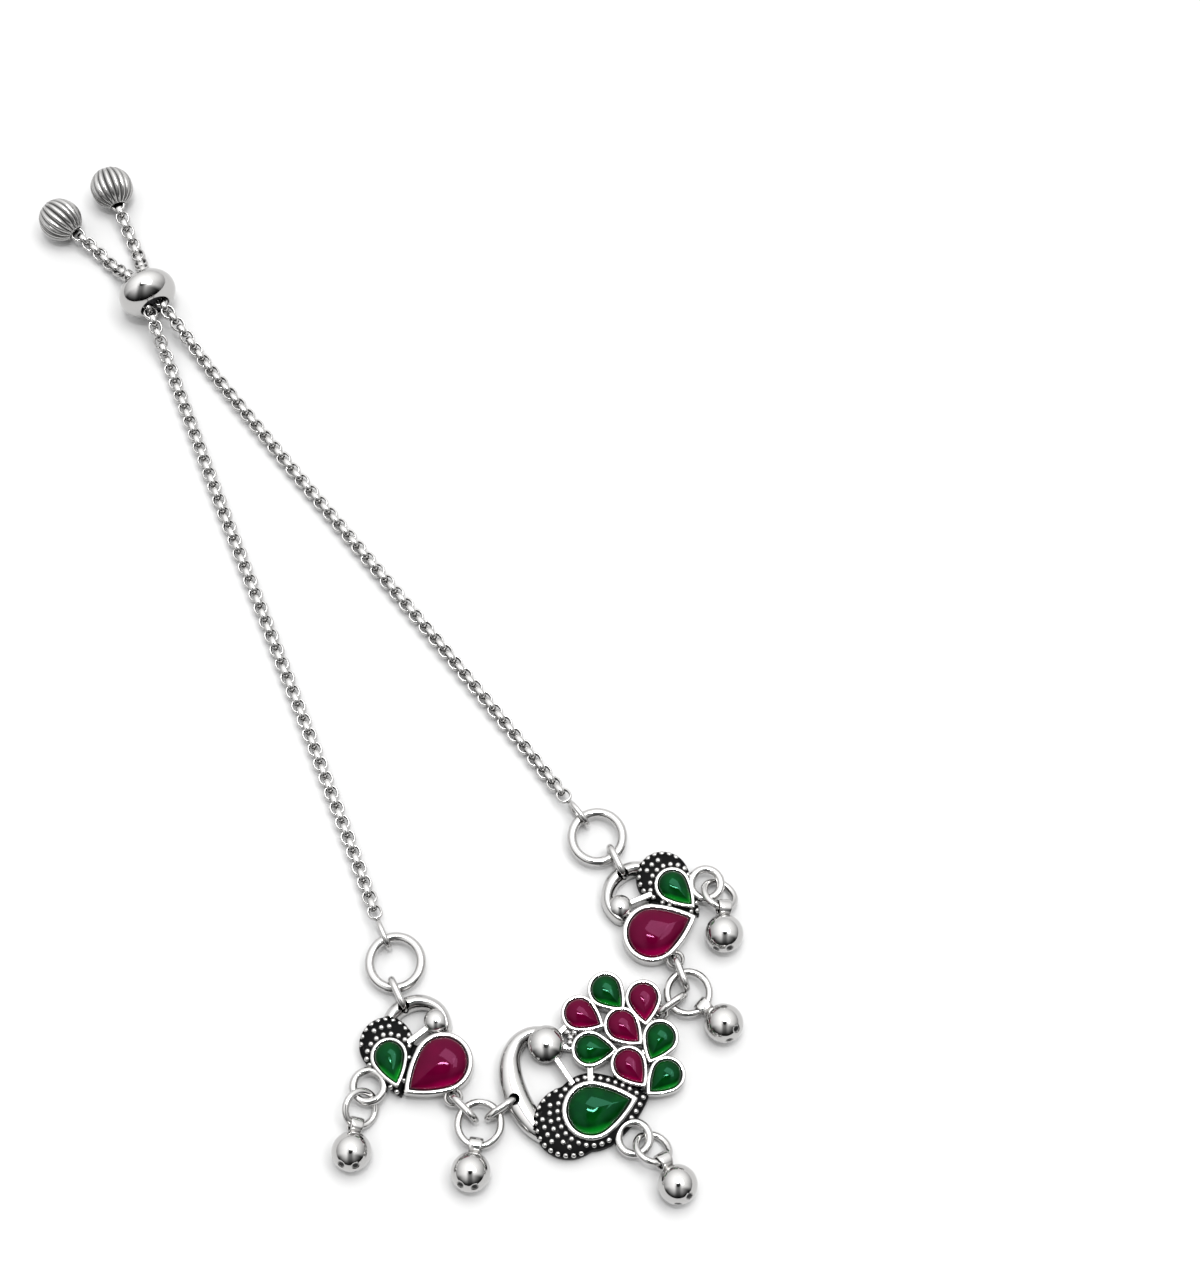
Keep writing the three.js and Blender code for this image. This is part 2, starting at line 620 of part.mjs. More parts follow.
// Small charm, with the ruby's middle at a given place
function smallStones(ruby) {
  const apart = RUBY_RADIUS + BIG_RIM + STONE_SPACING + RIM + GREEN_RADIUS;
  const green = step(ruby, apart, GREEN_HEADING);
  return {
    ruby: {
      radius: RUBY_RADIUS, tip: RUBY_TIP, dome: RUBY_DOME, rim: BIG_RIM,
      x: ruby.x, y: ruby.y, turn: RUBY_TURN,
    },
    green: {
      radius: GREEN_RADIUS, tip: GREEN_TIP, dome: GREEN_DOME, rim: RIM,
      x: green.x, y: green.y, turn: GREEN_TURN,
    },
  };
}

function smallBody(green) {
  const radius = GREEN_RADIUS + RIM + GROUND_MARGIN;
  const middle = step(new THREE.Vector2(green.x, green.y), -CROWN, GREEN_TURN);
  const tip = GREEN_TIP + RIM + GROUND_MARGIN + CROWN;
  return { radius, tip, x: middle.x, y: middle.y, turn: GREEN_TURN };
}

function smallCharm(ruby, stones, body, hookLine, smallHead, loop, eyes, lugHole) {
  const settings = [stones.ruby, stones.green].map(setting);
  const outline = (grow) => pear(body, grow);
  const covers = [
    laid(pear(stones.green, RIM), stones.green, 0), neckOutline(hookLine, 0.1),
    laid(pear(stones.ruby, BIG_RIM + DOT_CLEAR), stones.ruby, 0),
    laid(circle(LOOP_OUTER / 2, 12), loop, 0),
  ];
  const whole = joined([
    ground(outline, body), bar(stones.ruby, stones.green, WEB_WIDTH, GROUND_HEIGHT - WEB_DROP),
    neck(hookLine, NECK_HEIGHT, 14), boss(smallHead, SMALL_HEAD_RADIUS, SMALL_HEAD_HEIGHT, 14),
    bar(smallHead, between(smallHead, stones.green, 0.6)), bar(smallHead, stones.ruby),
    ...settings.map(({ cup }) => cup), lug(lugHole, ruby), loopAt(loop),
    ...dots(stones.green, [laid(outline(-DOT_INSET), body, 0)], covers, 4),
  ]);
  const cuts = [...settings.map(({ pocket }) => pocket), ...eyes.map((eye) => eye.cut())];
  return surface(whole.subtract(joined(cuts)));
}

// Chain: a round rope of links from the end link to inside the end bead, through the slider
function chainRoute(start, route, bead) {
  const rise = route.rise.map(([x, y]) => new THREE.Vector3(x, y, TABLE_CHAIN));
  const away = rise[0].clone().sub(start).setZ(0).normalize();
  const settling = SETTLE.map(({ along, left }) => start.clone().addScaledVector(away, along)
    .setZ(TABLE_CHAIN + left * (start.z - TABLE_CHAIN)));
  const near = (side) => ({ apart, off, up }) => new THREE.Vector3(
    -apart * STRAND_SPACING, SLIDER_Y + (side * SLIDER_LENGTH) / 2 + off, (up * SLIDER_OUTER) / 2);
  const beadMiddle = new THREE.Vector3(bead.x, bead.y, BEAD_RADIUS);
  const tail = route.tail.map(([x, y], index) =>
    new THREE.Vector3(x, y, TABLE_CHAIN + (index + 0.2) * TAIL_RISE));
  const arrival = tail.at(-1).clone().sub(beadMiddle).normalize();
  const inBead = (depth) => beadMiddle.clone().addScaledVector(arrival, BEAD_RADIUS - depth);
  return {
    arrival, beadMiddle,
    points: [
      start, ...settling, ...rise,
      ...CLIMB.map(near(-1)), ...DESCENT.map(near(1)),
      ...tail, inBead(0), inBead(BEAD_BORE_DEPTH - BORE_GAP),
    ],
  };
}

function chainShape(points) {
  const section = new THREE.Shape().absarc(0, 0, CHAIN / 2, 0, 2 * Math.PI);
  return new THREE.ExtrudeGeometry(section, {
    steps: CHAIN_STEPS, curveSegments: 4, bevelEnabled: false,
    extrudePath: new THREE.CatmullRomCurve3(points, false, 'centripetal'),
  });
}

// End bead: a ball with a blind bore in its mouth, about its own middle, with the mouth on +Y
function beadShape() {
  const bore = CHAIN / 2 + BORE_GAP;
  const mouth = Math.asin(bore / BEAD_RADIUS);
  const profile = [
    new THREE.Vector2(0, BEAD_RADIUS * Math.cos(mouth) - BEAD_BORE_DEPTH),
    new THREE.Vector2(bore, BEAD_RADIUS * Math.cos(mouth) - BEAD_BORE_DEPTH),
  ];
  const steps = 8;
  for (let i = 0; i <= steps; i++) {
    const angle = mouth + ((Math.PI - mouth) * i) / steps;
    profile.push(new THREE.Vector2(Math.sin(angle), Math.cos(angle)).multiplyScalar(BEAD_RADIUS));
  }
  profile[profile.length - 1].x = 0;
  return new THREE.LatheGeometry(profile.reverse(), 16);
}

// One side, built as on the left. The right side is its mirror image with headings of its own.
function buildSide(lie, firstWall, centreEye, route, bead) {
  const side = new THREE.Group();
  side.scale.x = lie.flip;
  anklet.add(side);
  const named = (piece) => `${lie.name}_${piece}`;
  const connectorMean = meanRadius(CONNECTOR_OUTER, CONNECTOR_WIRE);
  const bigMean = meanRadius(BIG_RING_OUTER, BIG_RING_WIRE);

  const span = WALL_REACH + CONNECTOR_REACH;
  addLink(side, named('centre_link'), LINK_LENGTH, LINK_WIRE, centreEye, lie.centreLink);
  const connector = step(firstWall, span - lie.centreSlack + connectorMean, lie.centreLink);
  addRing(side, named('connector_ring'), CONNECTOR_OUTER, CONNECTOR_WIRE, connector);
  addBall(side, named('connector_ball'), connector, ringPlane(lie.connectorBall, 0),
    connectorMean, lie.connectorBall);

  const lugWall = step(connector, connectorMean + span - lie.charmSlack, lie.charmLink);
  const lugEye = eyeAt(lugWall, lie.charmLink + 180);
  addLink(side, named('charm_link'), LINK_LENGTH, LINK_WIRE, lugEye.link, lie.charmLink);
  const ruby = step(lugEye.hole, -(RUBY_RADIUS + BIG_RIM + LUG_SET), LUG_HEADING);
  const stones = smallStones(ruby);
  const body = smallBody(stones.green);
  const hookLine = neckCurve(HOOK, ruby, HOOK_SPREAD, HOOK_RISE, HOOK_WIDTH);
  const smallHead = new THREE.Vector2(
    ruby.x + SMALL_HEAD.across * HOOK_SPREAD, ruby.y + SMALL_HEAD.up * HOOK_RISE);
  const hookTop = neckPoint(hookLine, HOOK_EYE);
  const hookWall = hookTop.middle.clone()
    .addScaledVector(hookTop.out, hookTop.width / 2 - EYE_WALL / 2);
  const hookEye = eyeAt(hookWall, lie.neckLink);
  const loop = step(new THREE.Vector2(stones.green.x, stones.green.y),
    GREEN_RADIUS + RIM + LOOP_OUTER / 2 - SIDE_LOOP_SINK, SIDE_LOOP_HEADING);
  const charm = smallCharm(ruby, stones, body, hookLine, smallHead, loop,
    [lugEye, hookEye], lugEye.hole);
  addPiece(side, `charm_${lie.name}`, charm, silver);
  addPiece(side, named('ruby_stone'), stoneShape(stones.ruby), magenta);
  addPiece(side, named('green_stone'), stoneShape(stones.green), emerald);
  const drop = addDropRing(side, named('drop_ring'), loop, lie);
  addBall(side, named('side_ball'), drop.middle, drop.plane,
    meanRadius(DROP_RING_OUTER, DROP_RING_WIRE), lie.sideBall);

  addLink(side, named('neck_link'), LINK_LENGTH, LINK_WIRE, hookEye.link, lie.neckLink);
  const bigWire = step(hookEye.link, BIG_RING_REACH, lie.neckLink);
  const bigRing = step(bigWire, bigMean, lie.bigRing);
  addRing(side, named('big_ring'), BIG_RING_OUTER, BIG_RING_WIRE, bigRing);
  const endLink = step(bigRing, bigMean + END_RING_REACH, lie.endLink);
  addLink(side, named('chain_end_link'), END_LINK_LENGTH, END_LINK_WIRE, endLink, lie.endLink);

  const start = lift(step(endLink, END_LINK_LENGTH / 2 + LINK_GAP, lie.endLink), LINK_MID);
  const { points, arrival, beadMiddle } = chainRoute(start, route, bead);
  addPiece(side, named('chain'), chainShape(points), silver);
  const endBead = addPiece(side, named('end_bead'), beadShape(), silver);
  endBead.quaternion.setFromUnitVectors(new THREE.Vector3(0, 1, 0), arrival);
  endBead.position.copy(beadMiddle);
}

const mirror = (point) => new THREE.Vector2(-point.x, point.y);
buildSide(LEFT, leftWall, leftEye.link, LEFT_ROUTE, LEFT_BEAD);
buildSide(RIGHT, mirror(rightWall), mirror(rightEye.link), RIGHT_ROUTE, RIGHT_BEAD);

// Slider: a rounded rondelle with a wide bore, and the rubber stopper inside with a hole for
// each chain
function sliderShape() {
  const [bore, mouth, outer] = [SLIDER_BORE / 2, SLIDER_MOUTH / 2, SLIDER_OUTER / 2];
  const half = SLIDER_LENGTH / 2;
  const profile = [new THREE.Vector2(bore, -half)];
  const steps = 8;
  for (let i = 0; i <= steps; i++) {
    const angle = -Math.PI / 2 + (Math.PI * i) / steps;
    const bulge = Math.max(Math.cos(angle), 0) ** 0.75;
    profile.push(new THREE.Vector2(mouth + (outer - mouth) * bulge, half * Math.sin(angle)));
  }
  profile.push(new THREE.Vector2(bore, half), new THREE.Vector2(bore, -half));
  return new THREE.LatheGeometry(profile, 16);
}

function stopperShape() {
  const disc = new THREE.Shape().absarc(0, 0, SLIDER_BORE / 2 - STONE_GAP, 0, 2 * Math.PI);
  for (const x of [-STRAND_SPACING / 2, STRAND_SPACING / 2]) {
    const radius = CHAIN / 2 + 0.08;
    disc.holes.push(new THREE.Path().absarc(x, 0, radius, 0, 2 * Math.PI, true));
  }
  const depth = SLIDER_LENGTH - 2 * STOPPER_RECESS;
  return new THREE.ExtrudeGeometry(disc, { depth, bevelEnabled: false, curveSegments: 8 })
    .translate(0, 0, -depth / 2).rotateX(Math.PI / 2);
}

addPiece(anklet, 'slider_bead', sliderShape(), silver)
  .position.set(0, SLIDER_Y, SLIDER_OUTER / 2);
addPiece(anklet, 'slider_stopper', stopperShape(), rubber)
  .position.set(0, SLIDER_Y, SLIDER_OUTER / 2);

export default anklet;
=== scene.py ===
"""Finished surfaces of a payal anklet that lies on a pale table.

Silver castings with granulated black grounds, pear cabochons, jump rings, links, ball drops, box
chains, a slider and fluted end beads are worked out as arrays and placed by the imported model.
Lengths are metres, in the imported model's frame.
"""

import math

import bpy
import numpy as np
from bpy.props import FloatProperty, FloatVectorProperty, PointerProperty
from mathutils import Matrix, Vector


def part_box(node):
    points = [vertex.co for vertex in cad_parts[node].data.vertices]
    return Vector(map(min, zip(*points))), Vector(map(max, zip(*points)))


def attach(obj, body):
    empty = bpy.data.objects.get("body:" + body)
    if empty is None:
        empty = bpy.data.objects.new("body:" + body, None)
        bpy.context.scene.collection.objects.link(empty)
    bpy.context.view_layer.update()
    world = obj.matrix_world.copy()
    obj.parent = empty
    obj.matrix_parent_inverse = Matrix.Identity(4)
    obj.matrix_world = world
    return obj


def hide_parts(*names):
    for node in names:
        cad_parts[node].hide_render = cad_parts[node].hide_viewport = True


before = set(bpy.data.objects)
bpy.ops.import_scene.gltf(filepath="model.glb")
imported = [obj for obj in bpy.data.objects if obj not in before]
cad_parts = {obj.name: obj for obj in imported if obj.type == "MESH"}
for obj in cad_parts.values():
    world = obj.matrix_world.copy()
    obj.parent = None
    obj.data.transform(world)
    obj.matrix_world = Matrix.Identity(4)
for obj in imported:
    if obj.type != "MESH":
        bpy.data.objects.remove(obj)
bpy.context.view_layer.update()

bl_info = {
    "name": "Payal Anklet",
    "version": (1, 0, 0),
    "blender": (4, 5, 0),
    "location": "View3D > Sidebar > Anklet",
    "description": "Builds the finished surfaces of a payal anklet",
    "category": "Add Mesh",
}

MM = 0.001
SIDES = {"left": 1, "right": -1}

# Neck of the peacock and hook of a small charm. Places are shares of the spread and rise from the
# stone's middle, and widths are shares of the full width.
NECK = [
    (-0.86, 0.03, 0.74), (-0.95, 0.17, 0.88), (-0.98, 0.34, 0.98), (-0.97, 0.51, 1.0),
    (-0.89, 0.72, 0.93), (-0.73, 0.89, 0.77), (-0.5, 0.985, 0.63), (-0.28, 0.995, 0.56),
    (-0.1, 0.96, 0.48), (0.05, 0.9, 0.36),
]
HOOK = [
    (-1.35, 0.87, 0.85), (-0.8, 0.98, 0.97), (-0.25, 1.0, 1.0), (0.27, 0.96, 0.97),
    (0.68, 0.86, 0.88), (0.95, 0.72, 0.76), (1.01, 0.58, 0.64), (0.92, 0.45, 0.56),
    (0.76, 0.36, 0.5),
]
HEAD = (-0.107, 0.812)
SMALL_HEAD = (0.58, 0.572)

# Joints between tail settings, and the pair that the side lug sits between, by stone number
TAIL_JOINTS = [(1, 4), (3, 6), (2, 5), (5, 7), (5, 8), (4, 7)]
TAIL_LUG = (2, 5)

# Edge of a dotted ground: distance in from the outline in millimetres, and share of the height
GROUND_EDGE = [
    (0.04, 0), (0, 0.02), (0, 0.6), (0.02, 0.72), (0.09, 0.83), (0.22, 0.905), (0.42, 0.95),
    (0.7, 0.975), (1.1, 0.99), (1.7, 1.0), (2.4, 1.0),
]

# Beads of solder between the peacock's head and its tail, in millimetres
SOLDER_BEADS = [(-0.28, 8.19), (0.32, 7.82), (-0.29, 7.6), (-0.6, 7.15)]

# Chains, in millimetres, as seen on the left. Rise and tail are points on the table. Settling is
# the distance from the end link and the share of its height left. Climb and descent are the
# distance from the middle line in strand spacings, from the slider's face, and the share of the
# slider's middle height.
CHAIN_RISE = {
    "left": [(-10.2, 37.5), (-8.3, 51), (-6.4, 65), (-4.4, 80), (-2.6, 92.5), (-2.2, 95.3)],
    "right": [(-10.9, 38), (-9.0, 50.5), (-6.8, 64.5), (-4.3, 80), (-2.4, 92.5), (-2.0, 95.3)],
}
CHAIN_TAIL = {"left": [(-1.9, 113.2), (-2.65, 115.9)], "right": [(-1.45, 113), (-1.75, 116)]}
END_BEAD = {"left": (-4.5, 120.7), "right": (-2.6, 121.6)}
SETTLE = [(1.5, 0.62), (3.2, 0.2), (5, 0.03)]
CLIMB = [(1.0, -5.8, 0.34), (0.72, -2.6, 0.8), (0.5, -0.7, 0.99), (0.5, 0.6, 1)]
DESCENT = [(0.5, -0.6, 1), (0.5, 0.7, 0.98), (0.65, 2.4, 0.57)]

# Turn of the notches about a ball drop's axis, in degrees. On the others it is 45.
NOTCH_TURNS = {"centre_ball": 18, "right_side_ball": 29, "right_connector_ball": 10}

# Lean of the notches' middles from the ball's far end, in degrees, and how deep they are sunk
NOTCH_LEAN = 32
NOTCH_DEPTH = 0.14 * MM

# Pear stones: round end's radius, its distance to the tip, the dome's height, all in millimetres,
# and the size that is their setting's wall
STONES = {
    "big": (2.43, 4.15, 1.0, "big_rim"),
    "tail": (1.475, 2.4, 0.75, "rim"),
    "side ruby": (2.53, 4.25, 1.0, "big_rim"),
    "side green": (1.5, 2.8, 0.75, "rim"),
}
STONE_LABELS = {"green": "green stone", "ruby": "ruby"}
TAIL_COLOURS = ["green", "ruby", "ruby", "ruby", "green", "green", "ruby", "green"]

# Heading of the side of a stone where light leaves it, painted bright, in degrees
GLOW_HEADING = -112

# Flutes of an end bead, and shares of a granule's distances that keep it on the ground and apart
FLUTES = 18
LIE_SHARE = 0.9
APART_SHARE = 0.8

# Waves of a chain's twist along its length: turn in radians and length scale
TWISTS = [(0.1, 9 * MM), (0.06, 2.9 * MM)]

# Points of a ground's outline, how sharply the peacock's two outlines meet, and rows of granules
OUTLINE_POINTS = 480
OUTLINE_POWER = 50
GRANULE_ROWS = 6

UP = np.array([0, 0, 1.0])

# Lamps: place, width and height in metres, and power in watts
LAMPS = {
    "window": ((0.15, 0.11, 0.5), 0.3, 0.22, 1.45),
    "side window": ((0.22, -0.08, 0.5), 0.2, 0.14, 0.6),
    "strip": ((0.01, 0.04, 0.48), 0.1, 0.018, 0.7),
}

# Camera: place and target in millimetres
CAMERA_PLACE = (-14.9, -23.5, 215.7)
CAMERA_TARGET = (24.6, 44.4, 0)
CAMERA_LENS = 58.8

# The camera's directions over the table: towards it, to its right, and away from it
TO_CAMERA = (-0.046, -0.123, 0.991)
TO_RIGHT = (0.864, -0.503, 0.0)
TO_BACK = (0.503, 0.864, 0.0)


def length(name, value, description):
    """A length property, with its default in millimetres."""
    return FloatProperty(name=name, default=value * MM, description=description, unit="LENGTH",
                         precision=5, min=0.0)


def colour(name, value, description):
    """A colour property."""
    return FloatVectorProperty(name=name, default=value, description=description,
                               subtype="COLOR", size=3, min=0.0, max=1.0)


class PAYAL_PG_sizes(bpy.types.PropertyGroup):
    """Sizes of the anklet's pieces."""

    ball_radius: length("Ball radius", 2.0, "Radius of a ball drop")
    notch: length("Notch", 0.36, "Radius of a ball drop's notches")
    bail_bore: length("Bail bore", 0.6, "Radius of the hole in a ball's bail")
    bail_strap: length("Bail strap", 0.28, "Thickness of a bail's strap")
    bail_width: length("Bail width", 1.45, "Width of a bail's strap")
    rim_height: length("Rim height", 2.5, "Height of the settings' rims over the table")
    rim: length("Rim", 0.4, "Wall of the small settings")
    big_rim: length("Big rim", 0.55, "Wall of the big settings")
    ground_height: length("Ground height", 1.9, "Height of the dotted grounds")
    ground_margin: length("Ground margin", 0.9, "Width of the dotted ground round a setting")
    dot_radius: length("Dot radius", 0.29, "Radius of a granule")
    dot_height: length("Dot height", 0.2, "Height of a granule")
    dot_edge: length("Dot edge", 0.26, "Distance from the ground's outline to its edge granules")
    dot_inset: length("Dot inset", 0.42, "Distance from a rim to the first row of granules")
    dot_pitch: length("Dot pitch", 0.8, "Distance between granules")
    breast_radius: length("Breast radius", 3.6, "Radius of the peacock's breast")
    breast_shift: length("Breast shift", 2.5, "Distance from the big stone to the breast")
    breast_lift: length("Breast lift", 0.2, "Distance of the breast above the big stone")
    neck_spread: length("Neck spread", 6.0, "Reach of the peacock's neck to the side")
    neck_rise: length("Neck rise", 10.0, "Reach of the peacock's neck upwards")
    neck_width: length("Neck width", 2.65, "Full width of the peacock's neck")
    neck_height: length("Neck height", 2.3, "Height of necks and hooks")
    head_radius: length("Head radius", 1.85, "Radius of the peacock's head")
    head_height: length("Head height", 3.15, "Height of the peacock's head")
    hook_spread: length("Hook spread", 2.4, "Reach of a small charm's hook to the side")
    hook_rise: length("Hook rise", 7.2, "Reach of a small charm's hook upwards")
    hook_width: length("Hook width", 1.6, "Full width of a small charm's hook")
    small_head_radius: length("Small head radius", 1.2, "Radius of a small charm's head")
    small_head_height: length("Small head height", 2.75, "Height of a small charm's head")
    crown: length("Crown", 1.4, "Distance from a small green stone to its body's middle")
    eye_radius: length("Eye radius", 0.6, "Radius of the holes that the links pass through")
    link_wire: length("Link wire", 0.75, "Wire of the upright links")
    end_link_wire: length("End link wire", 0.6, "Wire of the links at the chains' ends")
    big_ring_wire: length("Big ring wire", 1.0, "Wire of the rings that the chains hang on")
    connector_wire: length("Connector wire", 0.75, "Wire of the rings between the charms")
    drop_ring_wire: length("Drop ring wire", 0.72, "Wire of the rings that hold the ball drops")
    loop_outer: length("Loop", 4.0, "Outer diameter of the charms' loops")
    loop_wire: length("Loop wire", 0.85, "Wire of the charms' loops")
    chain: length("Chain", 1.62, "Outer width of the box chain")
    chain_link: length("Chain link", 1.7, "Length of a chain link")
    chain_pitch: length("Chain pitch", 0.88, "Distance from one chain link to the next")
    chain_strip: length("Chain strip", 0.27, "Thickness of a chain link's strip")
    chain_face: length("Chain face", 0.64, "Width of a chain link's strip")
    strand_spacing: length("Strand spacing", 1.7, "Distance between the strands in the slider")
    slider_length: length("Slider length", 4.1, "Length of the slider")
    slider_bore: length("Slider bore", 3.4, "Bore of the slider")
    slider_mouth: length("Slider mouth", 3.6, "Width of the slider's rounded mouth")
    bead_radius: length("Bead radius", 2.47, "Radius of an end bead")
    bead_bore: length("Bead bore", 0.86, "Radius of an end bead's bore")
    bead_depth: length("Bead depth", 1.5, "Depth of an end bead's bore")
    flute: length("Flute", 0.25, "Depth of an end bead's flutes")


class PAYAL_PG_colours(bpy.types.PropertyGroup):
    """Colours of the anklet's finishes."""

    silver: colour("Silver", (0.5, 0.494, 0.487), "Polished silver")
    oxide_and_shade: colour("Oxide", (0.0022, 0.0022, 0.0025), "Blackened silver")
    green_deep: colour("Green, deep", (0.0, 0.008, 0.001), "Green stone in its depth")
    green_bright: colour("Green, bright", (0.002, 0.2, 0.012), "Green stone where light leaves it")
    green_glint: colour("Green, glint", (0.24, 1.0, 0.64), "Tint of a green stone's reflections")
    ruby_deep: colour("Ruby, deep", (0.05, 0.0, 0.01), "Ruby in its depth")
    ruby_bright: colour("Ruby, bright", (0.22, 0.0, 0.04), "Ruby where light leaves it")
    ruby_glint: colour("Ruby, glint", (0.95, 0.3, 0.62), "Tint of a ruby's reflections")
    rubber: colour("Rubber", (0.012, 0.012, 0.013), "Stopper's rubber")
    table: colour("Table", (0.52, 0.52, 0.52), "Pale table")


class Socket:
    """A node's output that does arithmetic: each operator adds its Math node."""

    def __init__(self, tree, output):
        self.tree = tree
        self.output = output

    def math(self, operation, *values):
        inputs = dict(enumerate(values))
        return self.tree.node("ShaderNodeMath", {"operation": operation}, inputs)

    def __add__(self, other):
        return self.math("ADD", self, other)

    def __sub__(self, other):
        return self.math("SUBTRACT", self, other)

    def __rsub__(self, other):
        return self.math("SUBTRACT", other, self)

    def __mul__(self, other):
        return self.math("MULTIPLY", self, other)

    __radd__ = __add__
    __rmul__ = __mul__

    def step(self, low, high):
        """Smooth step from 0 at low to 1 at high."""
        settings = {"interpolation_type": "SMOOTHSTEP"}
        return self.tree.node("ShaderNodeMapRange", settings, {0: self, 1: low, 2: high})


class Tree:
    """A material's or the world's node tree, with one method that adds any node."""

    def __init__(self, owner):
        owner.use_nodes = True
        self.tree = owner.node_tree
        self.tree.nodes.clear()

    def node(self, kind, settings=None, inputs=None, output=0):
        node = self.tree.nodes.new(kind)
        for name, value in (settings or {}).items():
            setattr(node, name, value)
        for name, value in (inputs or {}).items():
            if isinstance(value, Socket):
                self.tree.links.new(value.output, node.inputs[name])
            else:
                node.inputs[name].default_value = value
        return Socket(self, node.outputs[output]) if node.outputs else None

    def mix(self, share, first, second):
        """Colour between two colours."""
        first, second = (c if isinstance(c, Socket) else (*c, 1.0) for c in (first, second))
        inputs = {0: share, 6: first, 7: second}
        return self.node("ShaderNodeMix", {"data_type": "RGBA"}, inputs, output=2)

    def noise(self, size, detail=2.0, rough=0.5):
        """Noise with features of about one size, on the object's coordinates."""
        place = self.node("ShaderNodeTexCoord", output="Object")
        inputs = {"Vector": place, "Scale": 1.0 / size, "Detail": detail, "Roughness": rough}
        return self.node("ShaderNodeTexNoise", None, inputs, output="Fac")

    def attribute(self, name):
        """A number kept for each point of the mesh."""
        return self.node("ShaderNodeAttribute", {"attribute_name": name}, output="Fac")

    def bump(self, height, depth, strength=1.0):
        """Surface relief of a given depth."""
        inputs = {"Height": height, "Distance": depth, "Strength": strength}
        return self.node("ShaderNodeBump", None, inputs, output="Normal")

    def surface(self, inputs):
        """A Principled surface on the material's output."""
        shader = self.node("ShaderNodeBsdfPrincipled", None, inputs)
        self.node("ShaderNodeOutputMaterial", None, {"Surface": shader})


def material(name, build):
    """The material of a name, built once."""
    found = bpy.data.materials.get(name)
    if found is None:
        found = bpy.data.materials.new(name)
        build(Tree(found), bpy.context.scene.payal_colours)
    return found


def build_silver(tree, colours):
    """Polished silver with faint hand-polished waves and fine scratches, and painted shade: where
    the shade attribute is high it turns black, less metallic and rougher, in crevices, gaps and
    bores.
    """
    dark = tree.attribute("shade")
    waves = tree.noise(1.6 * MM, 1.0)
    scratches = tree.noise(0.09 * MM, 3.0, 0.6)
    worn = tree.noise(0.7 * MM, 2.0).step(0.45, 0.75)
    tree.surface({
        # Painted shade: the shade attribute mixes the silver towards black.
        "Base Color": tree.mix(dark, colours.silver, colours.oxide_and_shade),
        "Metallic": 1.0 - 0.5 * dark,
        "Roughness": 0.05 + 0.05 * worn + 0.03 * scratches + 0.3 * dark,
        "Normal": tree.bump(waves + 0.02 * scratches, 0.03 * MM, 0.55),
    })


def build_oxide_and_shade(tree, colours):
    """Blackened silver with a fine grain and a few rubbed spots. The walls of cut holes get it too,
    as painted shade.
    """
    grain = tree.noise(0.06 * MM, 3.0, 0.65)
    rubbed = tree.noise(0.5 * MM, 2.0).step(0.62, 0.8)
    tree.surface({
        "Base Color": tree.mix(0.04 * rubbed, colours.oxide_and_shade, colours.silver),
        "Roughness": 0.42 + 0.2 * grain,
        "IOR": 1.12,
        "Normal": tree.bump(grain, 0.02 * MM, 0.6),
    })


def build_stone(kind):
    """Builder of a polished cabochon: deep colour under the crown, and painted light where the
    light that entered on the far side leaves it, near the girdle: brighter colour and a faint glow."""
    def build(tree, colours):
        deep, bright, glint = (getattr(colours, f"{kind}_{part}")
                               for part in ("deep", "bright", "glint"))
        glow = tree.attribute("glow")
        crown = tree.attribute("crown")
        clouds = tree.noise(1.3 * MM, 2.0)
        leaving = (glow * (1.0 - crown * crown) + 0.12 * clouds).step(0.45, 1.0)
        body = 0.02 + 0.03 * crown + 0.08 * clouds.step(0.35, 0.8)
        share = leaving + body * (1.0 - leaving)
        tree.surface({
            "Base Color": tree.mix(share, deep, bright),
            "Roughness": 0.035 + 0.02 * clouds,
            "IOR": 1.27,
            "Specular Tint": (*glint, 1.0),
            # Painted light: the stone glows faintly on the side where light is painted leaving it.
            "Emission Color": tree.mix(leaving, (0.0, 0.0, 0.0), bright),
            "Emission Strength": 0.12,
            "Normal": tree.bump(clouds, 0.012 * MM, 0.25),
        })
    return build


def build_rubber(tree, colours):
    """Matt black rubber with a fine moulded grain."""
    grain = tree.noise(0.1 * MM, 2.0)
    tree.surface({
        "Base Color": tree.mix(0.03 * grain, colours.rubber, (1.0, 1.0, 1.0)),
        "Roughness": 0.6 + 0.2 * grain,
        "Normal": tree.bump(grain, 0.02 * MM, 0.4),
    })


def build_table(tree, colours):
    """Smooth pale table."""
    tree.surface({"Base Color": (*colours.table, 1.0), "Roughness": 0.7, "IOR": 1.3})


def silver():
    return material("polished silver", build_silver)


def oxide_and_shade():
    return material("blackened silver", build_oxide_and_shade)


def polar(angle):
    """Unit vectors of the plane at angles in radians."""
    return np.stack([np.cos(angle), np.sin(angle)], -1)


def circle(count):
    """Points of a unit circle, counter-clockwise from +X."""
    return polar(np.arange(count) * (2 * np.pi / count))


def unit(vectors):
    """Vectors brought to length one, along the last axis."""
    vectors = np.asarray(vectors, float)
    return vectors / np.linalg.norm(vectors, axis=-1, keepdims=True)


def squared(values, power):
    """Values between -1 and 1 raised to a power with their signs kept. On the cosine and sine of
    an angle, a power under 1 squares the circle off."""
    return np.sign(values) * np.abs(values) ** power


def spin(points, angle):
    """Plan points turned about the origin by an angle in radians."""
    cos, sin = math.cos(angle), math.sin(angle)
    return points @ np.array([[cos, sin], [-sin, cos]])


def rise(points, heights):
    """Plan points stood at heights."""
    heights = np.broadcast_to(heights, points.shape[:-1])
    return np.concatenate([points, heights[..., None]], -1)


def outward(points, faces):
    """A closed shape with its faces turned outwards: they are reversed where its volume, the sum
    of the tetrahedra from the origin to each face, comes out negative."""
    volume = 0.0
    for block in faces:
        corner = points[block]
        for k in range(1, block.shape[1] - 1):
            volume += np.einsum("ij,ij->", corner[:, 0], np.cross(corner[:, k], corner[:, k + 1]))
    return points, [block[:, ::-1] for block in faces] if volume < 0 else faces


